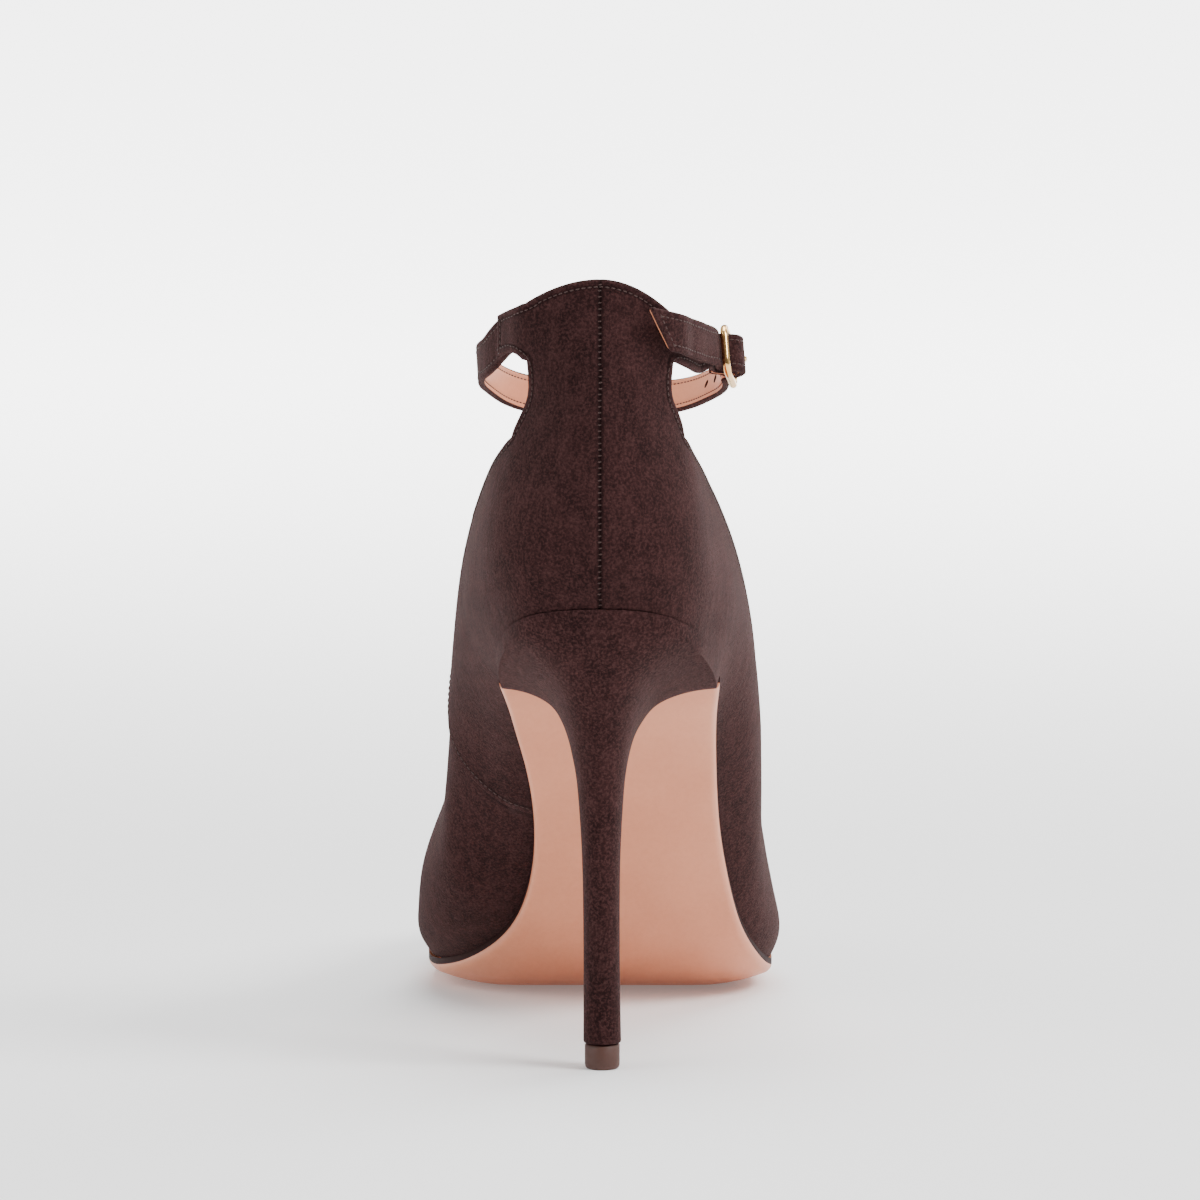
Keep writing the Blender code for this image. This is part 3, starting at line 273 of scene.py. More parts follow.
@dataclass
class Last:
    """Form of the foot: feather line, outline, crowned bottom and walls."""

    sole_length: float = 0.232
    ball_width: float = 0.0792
    seat_width: float = 0.0490
    seat_length: float = 0.0385
    heel_height: float = 0.105
    sole_thickness: float = 0.0030
    toe_spring: float = 0.0032
    toe_shift: float = -0.066
    crown: float = 0.0034
    crown_range: float = 0.0170
    crown_start: float = 0.43
    crown_full: float = 0.58
    tread_start: float = 0.612
    tread_end: float = 0.690
    side_height: float = 0.0440
    counter_height: float = 0.0720
    neck_width: float = 0.0322
    neck_share: float = 0.11
    clearance: float = 0.0003

    def __post_init__(self) -> None:
        """Integrate the sole's slopes and join the tables' rows."""
        slope = Monotone([row[0] for row in ARCH], [row[1] for row in ARCH])
        self.stations = np.linspace(0.0, self.tread_start, 141)
        self.falls = np.array([math.tan(math.radians(slope(s))) for s in self.stations])
        fallen = np.concatenate([[0.0], np.cumsum((self.falls[1:] + self.falls[:-1]) / 2)])
        shares = 1.0 - fallen / fallen[-1]
        self.heights = self.sole_thickness + (self.heel_height - self.sole_thickness) * shares
        widths = {"seat": self.seat_width, "ball": self.ball_width}
        rows = [(0.0, 0.0), (1.0, self.toe_shift * self.ball_width)]
        for follows, share, inner, outer in OUTLINE:
            rows.append((-self.station(share), -inner * widths[follows]))
            rows.append((self.station(share), outer * widths[follows]))
        rows.sort()
        self.edge_x = Spline([row[0] for row in rows], [row[1] for row in rows], period=2.0)
        walls = []
        for _around, x, y, rise, *bulges in WALLS:
            along = y * self.sole_length
            walls.append([x * self.ball_width, along, self.feather(along) + rise * self.side_height] + bulges)
        self.wall_rows = Spline([row[0] for row in WALLS], walls, period=2.0)

    def feather(self, y: float) -> float:
        """Return the height of the feather line at y."""
        share = y / self.sole_length
        if share <= self.tread_start:
            level = float(np.interp(share, self.stations, self.heights))
            return level - min(share, 0.0) * self.sole_length * self.falls[0]
        if share <= self.tread_end:
            return self.sole_thickness
        reach = (share - self.tread_end) / (1.0 - self.tread_end)
        return self.sole_thickness + self.toe_spring * reach ** 1.8

    def slope(self, y: float) -> float:
        """Return the fall of the feather line per unit of length."""
        step = self.sole_length / 500
        return (self.feather(y - step) - self.feather(y + step)) / (2 * step)

    @staticmethod
    def station(share: float) -> float:
        """Return the place round the shoe, 0 at the back and 1 at the toe, of a share of its length."""
        return math.acos(1.0 - 2.0 * min(max(share, 0.0), 1.0)) / math.pi

    def edge_y(self, around: float) -> float:
        """Return how far along the shoe a place round the feather is."""
        return self.sole_length * (1.0 - math.cos(math.pi * around)) / 2.0

    def bottom(self, x: float, y: float) -> float:
        """Return the height of the last's bottom, which rounds up towards the forefoot's edge."""
        share = y / self.sole_length
        around = self.station(share)
        inwards = min(x - self.edge_x(-around), self.edge_x(around) - x, self.sole_length - y)
        near = min(max(1.0 - inwards / self.crown_range, 0.0), 1.0)
        grown = eased((share - self.crown_start) / (self.crown_full - self.crown_start))
        return self.feather(y) + self.crown * grown * near * near

    def on_bottom(self, x: float, y: float, level: float) -> np.ndarray:
        """Return a point at a distance above the last's bottom, along its slope's normal."""
        fall = self.slope(y)
        size = math.hypot(1.0, fall)
        return np.array([x, y + level * fall / size, self.bottom(x, y) + level / size])

    def feather_point(self, around: float) -> np.ndarray:
        """Return a point of the feather line."""
        x, y = self.edge_x(around), self.edge_y(around)
        return np.array([x, y, self.bottom(x, y)])

    def edge_normal(self, around: float) -> np.ndarray:
        """Return the outward direction of the outline, level with the ground."""
        across = self.feather_point(around + 0.004) - self.feather_point(around - 0.004)
        return unit([across[1], -across[0], 0.0])

    def inset_edge(self, around: float, inset: float) -> np.ndarray:
        """Return a point of the outline moved inwards, in plan, on the last's bottom."""
        point = self.feather_point(around) - self.edge_normal(around) * inset
        point[2] = self.bottom(point[0], point[1])
        return point

    def wall_column(self, around: float) -> tuple[Spline, float, float]:
        """Return the upper's outside line at a place round the feather.

        Args:
            around: 0 at the back seam, 1 at the toe, the inner side negative.

        Returns:
            The spline, whose parameter is 0 at the feather and 1 at the topline, the parameter of its end,
            and the length that one unit of the parameter stands for.
        """
        row = self.wall_rows(around)
        foot = self.feather_point(around)
        foot[2] += self.clearance
        chord = row[:3] - foot
        length = float(np.linalg.norm(chord))
        along = chord / length
        outward = self.edge_normal(around)
        normal = unit(outward - along * outward.dot(along))
        knots, points = [0.0], [foot]
        for share, bulge in zip(BULGE_AT, row[3:]):
            knots.append(share)
            points.append(foot + chord * share + normal * bulge * length)
        knots.append(1.0)
        points.append(row[:3])
        across = around / self.neck_share
        if abs(across) <= 1.001:
            for height, inner_fall, outer_fall, width, seam_y, side_y in NECK:
                fall = (inner_fall if across < 0 else outer_fall) * across * across
                key = np.array([
                    across * width * self.neck_width / 2,
                    self.seat_length * (seam_y + (side_y - seam_y) * across * across),
                    self.heel_height + self.counter_height * (height - fall),
                ])
                knots.append(knots[-1] + float(np.linalg.norm(key - points[-1])) / length)
                points.append(key)
        return Spline(knots, points), knots[-1], length


@dataclass
class Fastening:
    """Layout of the arms, the strap and the buckle."""

    last: Last
    wall: float = 0.0016
    strap_width: float = 0.0086
    strap_thickness: float = 0.0015
    arm_edge: float = 0.0010
    fold_thickness: float = 0.0007
    loop_width: float = 0.0540
    loop_length: float = 0.0800
    loop_back: float = 0.0060
    arm_level: float = 0.805
    strap_drop: float = 0.0200
    end_lift: float = 0.0022
    hole_width: float = 0.0020
    hole_ahead: float = 0.0016
    hole_spacing: float = 0.0066
    spare_holes: int = 4
    buckle_length: float = 0.0150
    buckle_height: float = 0.0121
    wire: float = 0.0017
    bar_wire: float = 0.0012
    buckle_corner: float = 0.0026
    prong_wire: float = 0.0010
    valley_ahead: float = 0.0047
    valley_radius: float = 0.0012
    free_end: tuple[float, float, float] = (0.489, 0.177, 0.851)
    buckle_centre: tuple[float, float, float] = (1.060, 0.388, 0.290)
    buckle_forward: tuple[float, float, float] = (0.130, 0.907, -0.380)
    buckle_lean: tuple[float, float, float] = (-0.12, 0.0, 1.0)

    def __post_init__(self) -> None:
        """Derive the sizes round the bar."""
        clear = self.last.clearance
        self.frame_reach = (self.buckle_length - self.wire) / 2
        self.fold_radius = self.bar_wire / 2 + clear + self.fold_thickness
        self.strap_gap = 1.5 * clear
        self.strap_radius = self.fold_radius + self.strap_gap + self.strap_thickness / 2
        self.strap_level = -(self.wire / 2 + clear + self.strap_thickness / 2)
        self.tail_radius = self.fold_radius - 2 * self.fold_thickness - clear / 2

    def arm(self, rows: Sequence[Sequence[float]]) -> Spline:
        """Return a spline along an arm: x, y, lower and upper level in metres."""
        base, rise = self.last.heel_height, self.last.counter_height
        values = [
            [x * self.loop_width / 2, y * self.last.seat_length, base + rise * low, base + rise * high]
            for _share, x, y, low, high in rows
        ]
        return Spline([row[0] for row in rows], values)

    def axes(self) -> tuple[np.ndarray, np.ndarray, np.ndarray, np.ndarray]:
        """Return the buckle's centre, its direction along the strap, up across it and outwards."""
        x, y, drop = self.buckle_centre
        level = self.last.heel_height + self.arm_level * self.last.counter_height - drop * self.strap_drop
        centre = np.array([x * self.loop_width / 2, self.loop_back + y * self.loop_length, level])
        forward = unit(self.buckle_forward)
        lean = np.asarray(self.buckle_lean)
        up = unit(lean - forward * lean.dot(forward))
        return centre, forward, up, np.cross(forward, up)

    def bar_wave(self, radius: float, pieces: int = 3) -> list[np.ndarray]:
        """Return pairs (ahead of the bar, level) from under the frame's end up on to the bar.

        Args:
            radius: distance that the path keeps from the bar's axis.
            pieces: steps in each of the two bends.

        Returns:
            Points in the plane across the bar; paths of other radii lie against these.
        """
        total = self.strap_radius + self.valley_radius
        valley = np.array([self.valley_ahead, self.strap_level + self.valley_radius])
        leave = math.atan2(valley[1], valley[0]) + math.acos(total / np.linalg.norm(valley))
        points = []
        for i in range(pieces + 1):
            angle = 1.5 * math.pi + (leave - 0.5 * math.pi) * i / pieces
            points.append(valley + (total - radius) * np.array([math.cos(angle), math.sin(angle)]))
        for i in range(pieces + 1):
            angle = leave + (0.5 * math.pi - leave) * i / pieces
            points.append(radius * np.array([math.cos(angle), math.sin(angle)]))
        return points

    def right_arm_keys(self) -> list[tuple[np.ndarray, np.ndarray, float]]:
        """Return places, spans and thicknesses of the right arm from the neck round the buckle's bar."""
        centre, forward, up, outwards = self.axes()
        arm = self.arm(RIGHT_ARM)
        keys = []
        for share in ARM_STATIONS:
            x, y, low, high = arm(share)
            keys.append((np.array([x, y, (low + high) / 2]), np.array([0.0, 0.0, high - low]), self.wall))
        climb = self.bar_wave(self.fold_radius)
        span = up * self.strap_width
        under = centre - forward * self.frame_reach + outwards * climb[0][1]
        keys.append((under, span, (self.wall + self.fold_thickness) / 2))
        for ahead, level in climb:
            keys.append((centre - forward * ahead + outwards * level, span, self.fold_thickness))
        for i in range(1, 7):
            angle = math.pi / 2 - math.pi * i / 6
            turned = forward * math.cos(angle) + outwards * math.sin(angle)
            keys.append((centre + turned * self.fold_radius, span, self.fold_thickness))
        for ahead, level in self.bar_wave(self.tail_radius)[3:0:-1]:
            keys.append((centre - forward * ahead + outwards * level, span, self.fold_thickness))
        return keys

    def strap_keys(self) -> tuple[list[tuple[np.ndarray, np.ndarray]], int]:
        """Return places and up vectors along the strap's middle, and the index of the one over the bar."""
        centre, forward, up, outwards = self.axes()
        keys = []
        upright = np.array([0.0, 0.0, 1.0])
        left = self.arm(LEFT_ARM)
        for share in (0.30, 0.65, 1.0):
            x, y, low, high = left(share)
            ahead = left(share + 0.02) - left(share - 0.02)
            normal = unit([-ahead[1], ahead[0], 0.0])
            depth = self.wall + (self.arm_edge - self.wall) * share + self.last.clearance
            depth += self.strap_thickness / 2
            keys.append((np.array([x, y, (low + high) / 2]) - normal * depth, upright))
        level = self.last.heel_height + self.arm_level * self.last.counter_height
        for x, y, drop, lean in STRAP_ROUTE:
            place = np.array([
                x * self.loop_width / 2, self.loop_back + y * self.loop_length, level - drop * self.strap_drop
            ])
            away = unit([place[0] * 0.6, place[1] - self.loop_back - self.loop_length / 2, 0.0])
            keys.append((place, unit(upright - away * math.tan(math.radians(lean)))))
        climb = [(self.frame_reach, self.strap_level)] + list(self.bar_wave(self.strap_radius))
        over = len(keys) + len(climb) - 1
        for side, points in ((1.0, climb), (-1.0, climb[-2::-1])):
            for ahead, height in points:
                keys.append((centre + forward * ahead * side + outwards * height, up))
        arm = [entry[0] for entry in self.right_arm_keys()[:6]]
        free = [keys[-1][0]]
        for i, lift in FREE_PART:
            ahead = arm[i + 1] - arm[max(i - 1, 0)]
            normal = unit([ahead[1], -ahead[0], 0.0])
            free.append(arm[i] + normal * (self.strap_gap + self.strap_thickness / 2 + self.end_lift * lift))
        x, y, height = self.free_end
        base, rise = self.last.heel_height, self.last.counter_height
        free.append(np.array([x * self.loop_width / 2, y * self.last.seat_length, base + rise * height]))
        gone = np.cumsum([0.0] + [float(np.hypot(*(b - a)[:2])) for a, b in zip(free, free[1:])])
        for place, far in list(zip(free, gone))[1:]:
            level = free[0][2] + (free[-1][2] - free[0][2]) * far / gone[-1]
            keys.append((np.array([place[0], place[1], level]), upright))
        return keys, over


class Look(Enum):
    """Materials that a piece's faces can wear."""

    SUEDE = "suede"
    LINING = "lining"
    SOLE = "sole_leather"
    EDGE = "sole_edge"
    THREAD = "thread"
    TIP = "tip"
    GOLD = "gold"


@dataclass
class Pattern:
    """A piece's points and faces, with the look of each face, ready to become an object."""

    name: str
    looks: tuple[Look, ...]
    points: list[np.ndarray] = field(default_factory=list)
    faces: list[list[int]] = field(default_factory=list)
    worn: list[int] = field(default_factory=list)
    edge_distance: list[float] = field(default_factory=list)

    def face(self, corners: Sequence[int], look: Look | None = None) -> None:
        """Add a face in a look, by default the first."""
        self.faces.append(list(corners))
        self.worn.append(self.looks.index(look) if look else 0)

    def loft(self, loops: Sequence[Sequence[np.ndarray]], looks: Sequence[Look], closed: bool = False,
             ends: Look | None = None) -> None:
        """Join loops of points with the same count.

        Args:
            loops: sections in order.
            looks: the look of each strip round the section.
            closed: whether the last section joins the first; otherwise both ends get flat faces.
            ends: the look of those faces, by default the first strip's.
        """
        start, count, rows = len(self.points), len(loops[0]), len(loops)
        for loop in loops:
            self.points.extend(loop)
        for row in range(rows if closed else rows - 1):
            here, there = start + row * count, start + (row + 1) % rows * count
            for i in range(count):
                j = (i + 1) % count
                self.face([here + i, here + j, there + j, there + i], looks[i % len(looks)])
        if not closed:
            for row in (0, rows - 1):
                self.face([start + row * count + i for i in range(count)], ends or looks[0])

    def tube(self, path: Sequence[np.ndarray], radii: Sequence[float], look: Look, closed: bool = False,
             sides: int = 24) -> None:
        """Add a round wire along a path.

        Args:
            path: points of its middle.
            radii: its radius at each point.
            look: its look.
            closed: whether it is a ring.
            sides: corners of its section.
        """
        count, loops, side = len(path), [], None
        for i, point in enumerate(path):
            before = path[i - 1] if closed or i else path[0]
            after = path[(i + 1) % count] if closed or i < count - 1 else path[-1]
            ahead = unit(after - before)
            if side is None:
                side = unit(np.cross(ahead, [0.3, 0.5, 0.8]))
            side = unit(side - ahead * side.dot(ahead))
            other = np.cross(ahead, side)
            turns = [2 * math.pi * k / sides for k in range(sides)]
            loops.append([point + radii[i] * (side * math.cos(a) + other * math.sin(a)) for a in turns])
        self.loft(loops, [look], closed)

    def mesh(self) -> bpy.types.Mesh:
        """Return the mesh in the frame's axes, with its faces pointing out."""
        mesh = bpy.data.meshes.new(self.name)
        mesh.from_pydata([Vector(p + ORIGIN) for p in self.points], [], self.faces)
        for look in self.looks:
            mesh.materials.append(FINISHES[look].material())
        mesh.polygons.foreach_set("material_index", self.worn)
        if self.edge_distance:
            attribute = mesh.attributes.new("edge_distance", "FLOAT", "POINT")
            attribute.data.foreach_set("value", self.edge_distance)
        shape = bmesh.new()
        shape.from_mesh(mesh)
        bmesh.ops.recalc_face_normals(shape, faces=shape.faces)
        shape.to_mesh(mesh)
        shape.free()
        mesh.shade_smooth()
        mesh.set_sharp_from_angle(angle=math.radians(48))
        return mesh


def hand_over(mesh: bpy.types.Mesh, name: str, look: Look, replaced: Sequence[str] = ()) -> bpy.types.Object:
    """Link a piece, hang it under the root body and hide the CAD nodes that it stands for.

    Args:
        mesh: its finished mesh, in place.
        name: the piece's name.
        look: not used.
        replaced: CAD nodes that it stands for.

    Returns:
        The piece's object.
    """
    piece = bpy.data.objects.new(name, mesh)
    bpy.context.scene.collection.objects.link(piece)
    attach(piece, "root")
    if replaced:
        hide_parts(*replaced)
    LOG.info("%s: %d faces", name, len(mesh.polygons))
    return piece


class Shell:
    """Leather wall behind a grid of outside points, with rounded open edges."""

    RIM_PIECES = 4

    def __init__(self, roundness: float = 0.45) -> None:
        """Start an empty wall.

        Args:
            roundness: how far an edge stands out, as a share of half the wall.
        """
        self.roundness = roundness
        self.outside: dict[Any, np.ndarray] = {}
        self.thickness: dict[Any, float] = {}
        self.inside: dict[Any, np.ndarray] = {}
        self.cells: list[tuple[Any, ...]] = []

    def point(self, key: Any, place: Sequence[float], thickness: float) -> None:
        """Set an outside point and the wall's thickness there."""
        self.outside[key] = np.asarray(place, float)
        self.thickness[key] = thickness

    def cell(self, *keys: Any) -> None:
        """Add a face between outside points."""
        self.cells.append(keys)

    def normals(self) -> dict[Any, np.ndarray]:
        """Return the mean outward direction at each point."""
        sums = {key: np.zeros(3) for key in self.outside}
        for keys in self.cells:
            corners = [self.outside[key] for key in keys]
            normal = np.cross(corners[2] - corners[0], corners[-1] - corners[1])
            size = np.linalg.norm(normal)
            if size > 1e-12:
                for key in keys:
                    sums[key] += normal / size
        return {key: unit(total) for key, total in sums.items()}

    def rims(self) -> list[tuple[Any, Any]]:
        """Return the open edges, in the order of their faces."""
        # A set of keys with text in them would come out in another order each run
        edges = dict.fromkeys(edge for keys in self.cells for edge in zip(keys, keys[1:] + keys[:1]))
        return [edge for edge in edges if (edge[1], edge[0]) not in edges]

    def rim_loops(self) -> list[list[Any]]:
        """Return the open edges as closed chains of keys, the longest first."""
        following = {}
        for start, end in self.rims():
            following[start] = end
        loops = []
        while following:
            start = next(iter(following))
            loop, here = [start], following.pop(start)
            while here != start and here in following:
                loop.append(here)
                here = following.pop(here)
            loops.append(loop)
        return sorted(loops, key=len, reverse=True)

    def relieve(self, rise: Callable[[np.ndarray, float], float], is_foot: Callable[[Any], bool]) -> dict[Any, float]:
        """Move the outside points along their normals.

        Args:
            rise: height for a point and its distance from the nearest sewn edge.
            is_foot: whether a key lies on the lasted edge, which isn't a sewn one.

        Returns:
            The distance from the nearest sewn edge at each point.
        """
        normals = self.normals()
        spots = []
        for start, end in self.rims():
            if not (is_foot(start) or is_foot(end)):
                a, b = self.outside[start], self.outside[end]
                spots += [a, (a * 2 + b) / 3, (a + b * 2) / 3]
        tree = KDTree(len(spots))
        for i, spot in enumerate(spots):
            tree.insert(Vector(spot), i)
        tree.balance()
        far = {}
        for key, place in self.outside.items():
            far[key] = tree.find(Vector(place))[2]
        for key, place in list(self.outside.items()):
            self.outside[key] = place + normals[key] * rise(place, far[key])
        return far

    def fill(self, pattern: Pattern, face_look: Look, back_look: Look, distances: dict[Any, float],
             is_foot: Callable[[Any], bool]) -> None:
        """Put the closed wall into a pattern.

        Args:
            pattern: receives the points and faces.
            face_look: the look of the outside and of the edges.
            back_look: the look of the inside.
            distances: distance from the nearest sewn edge for each key.
            is_foot: whether a key lies on the lasted edge, which stays square.
        """
        normals = self.normals()
        order = list(self.outside)
        index = {key: i for i, key in enumerate(order)}
        count = len(order)
        inside = {}
        for key in order:
            inside[key] = self.inside.get(key, self.outside[key] - normals[key] * self.thickness[key])
        pattern.points = [self.outside[key] for key in order] + [inside[key] for key in order]
        pattern.edge_distance = [distances[key] for key in order] * 2
        for keys in self.cells:
            corners = [index[key] for key in keys]
            pattern.face(corners, face_look)
            pattern.face([corner + count for corner in reversed(corners)], back_look)
        away = {}
        rims = self.rims()
        for start, end in rims:
            along = self.outside[end] - self.outside[start]
            for key in (start, end):
                out = np.cross(along, normals[key])
                away[key] = away.get(key, 0.0) + out / max(np.linalg.norm(out), 1e-12)
        rings = {}
        for key, out in away.items():
            middle = (self.outside[key] + inside[key]) / 2
            reach = (self.outside[key] - inside[key]) / 2
            stand = 0.0 if is_foot(key) else self.roundness * float(np.linalg.norm(reach))
            out = unit(out) if np.linalg.norm(out) > 1e-9 else np.zeros(3)
            ring = [index[key]]
            for k in range(1, self.RIM_PIECES):
                angle = math.pi * k / self.RIM_PIECES
                ring.append(len(pattern.points))
                pattern.points.append(middle + reach * math.cos(angle) + out * stand * math.sin(angle))
                pattern.edge_distance.append(0.0)
            rings[key] = ring + [index[key] + count]
        for start, end in rims:
            for k in range(self.RIM_PIECES):
                a, b = rings[start], rings[end]
                look = face_look if k < self.RIM_PIECES - 1 else back_look
                pattern.face([b[k], a[k], a[k + 1], b[k + 1]], look)


@dataclass
class Sewing:
    """Rows of stitches, gathered as paths and laid by one tree of geometry nodes."""

    spacing: float = 0.00135
    length: float = 0.00100
    radius: float = 0.00016
    paths: list[list[tuple[np.ndarray, np.ndarray]]] = field(default_factory=list)

    def row(self, places: Sequence[np.ndarray]) -> None:
        """Add a row whose stitches lie along it."""
        path = []
        for i, place in enumerate(places):
            before, after = places[max(i - 1, 0)], places[min(i + 1, len(places) - 1)]
            path.append((place, unit(after - before)))
        self.paths.append(path)

    def ticks(self, places: Sequence[np.ndarray], way: Sequence[float]) -> None:
        """Add a row whose stitches all point one way."""
        self.paths.append([(place, unit(way)) for place in places])

    def tree(self) -> bpy.types.NodeTree:
        """Return the tree that sets a stitch at each step of every path."""
        tree = bpy.data.node_groups.new("sewing", "GeometryNodeTree")
        face = tree.interface
        face.new_socket(name="Paths", in_out="INPUT", socket_type="NodeSocketGeometry")
        for name in ("Spacing", "Length", "Radius"):
            face.new_socket(name=name, in_out="INPUT", socket_type="NodeSocketFloat")
        face.new_socket(name="Thread", in_out="INPUT", socket_type="NodeSocketMaterial")
        face.new_socket(name="Stitches", in_out="OUTPUT", socket_type="NodeSocketGeometry")
        make, link = tree.nodes.new, tree.links.new
        given, made = make("NodeGroupInput"), make("NodeGroupOutput")
        curve, steps = make("GeometryNodeMeshToCurve"), make("GeometryNodeResampleCurve")
        steps.mode = "LENGTH"
        link(given.outputs["Paths"], curve.inputs["Mesh"])
        link(curve.outputs["Curve"], steps.inputs["Curve"])
        link(given.outputs["Spacing"], steps.inputs["Length"])
        way = make("GeometryNodeInputNamedAttribute")
        way.data_type = "FLOAT_VECTOR"
        way.inputs["Name"].default_value = "thread_way"
        turn = make("FunctionNodeAlignRotationToVector")
        turn.axis = "Z"
        link(way.outputs["Attribute"], turn.inputs["Vector"])
        stitch = make("GeometryNodeMeshUVSphere")
        stitch.inputs["Segments"].default_value = 6
        stitch.inputs["Rings"].default_value = 5
        stitch.inputs["Radius"].default_value = 1.0
        half = make("ShaderNodeMath")
        half.operation = "MULTIPLY"
        half.inputs[1].default_value = 0.5
        link(given.outputs["Length"], half.inputs[0])
        size = make("ShaderNodeCombineXYZ")
        link(given.outputs["Radius"], size.inputs["X"])
        link(given.outputs["Radius"], size.inputs["Y"])
        link(half.outputs[0], size.inputs["Z"])
        place = make("GeometryNodeInstanceOnPoints")
        link(steps.outputs["Curve"], place.inputs["Points"])
        link(stitch.outputs["Mesh"], place.inputs["Instance"])
        link(turn.outputs["Rotation"], place.inputs["Rotation"])
        link(size.outputs["Vector"], place.inputs["Scale"])
        smooth, real = make("GeometryNodeSetShadeSmooth"), make("GeometryNodeRealizeInstances")
        dress = make("GeometryNodeSetMaterial")
        link(place.outputs["Instances"], real.inputs["Geometry"])
        link(real.outputs["Geometry"], smooth.inputs["Geometry"])
        link(smooth.outputs["Geometry"], dress.inputs["Geometry"])
        link(given.outputs["Thread"], dress.inputs["Material"])
        link(dress.outputs["Geometry"], made.inputs["Stitches"])
        return tree

    def build(self, name: str) -> bpy.types.Object:
        """Lay all stitches and return them as one plain piece."""
        points, edges, ways = [], [], []
        for path in self.paths:
            for i, (place, way) in enumerate(path):
                if i:
                    edges.append((len(points) - 1, len(points)))
                points.append(Vector(place + ORIGIN))
                ways += list(way)
        mesh = bpy.data.meshes.new(name + "_paths")
        mesh.from_pydata(points, edges, [])
        mesh.attributes.new("thread_way", "FLOAT_VECTOR", "POINT").data.foreach_set("vector", ways)
        carrier = bpy.data.objects.new(name + "_paths", mesh)
        bpy.context.scene.collection.objects.link(carrier)
        tree = self.tree()
        modifier = carrier.modifiers.new("sewing", "NODES")
        modifier.node_group = tree
        values = {"Spacing": self.spacing, "Length": self.length, "Radius": self.radius,
                  "Thread": FINISHES[Look.THREAD].material()}
        for item in tree.interface.items_tree:
            if item.in_out == "INPUT" and item.name in values:
                modifier[item.identifier] = values[item.name]
        graph = bpy.context.evaluated_depsgraph_get()
        laid = bpy.data.meshes.new_from_object(carrier.evaluated_get(graph), depsgraph=graph)
        laid.name = name
        bpy.data.objects.remove(carrier)
        return hand_over(laid, name, Look.THREAD)


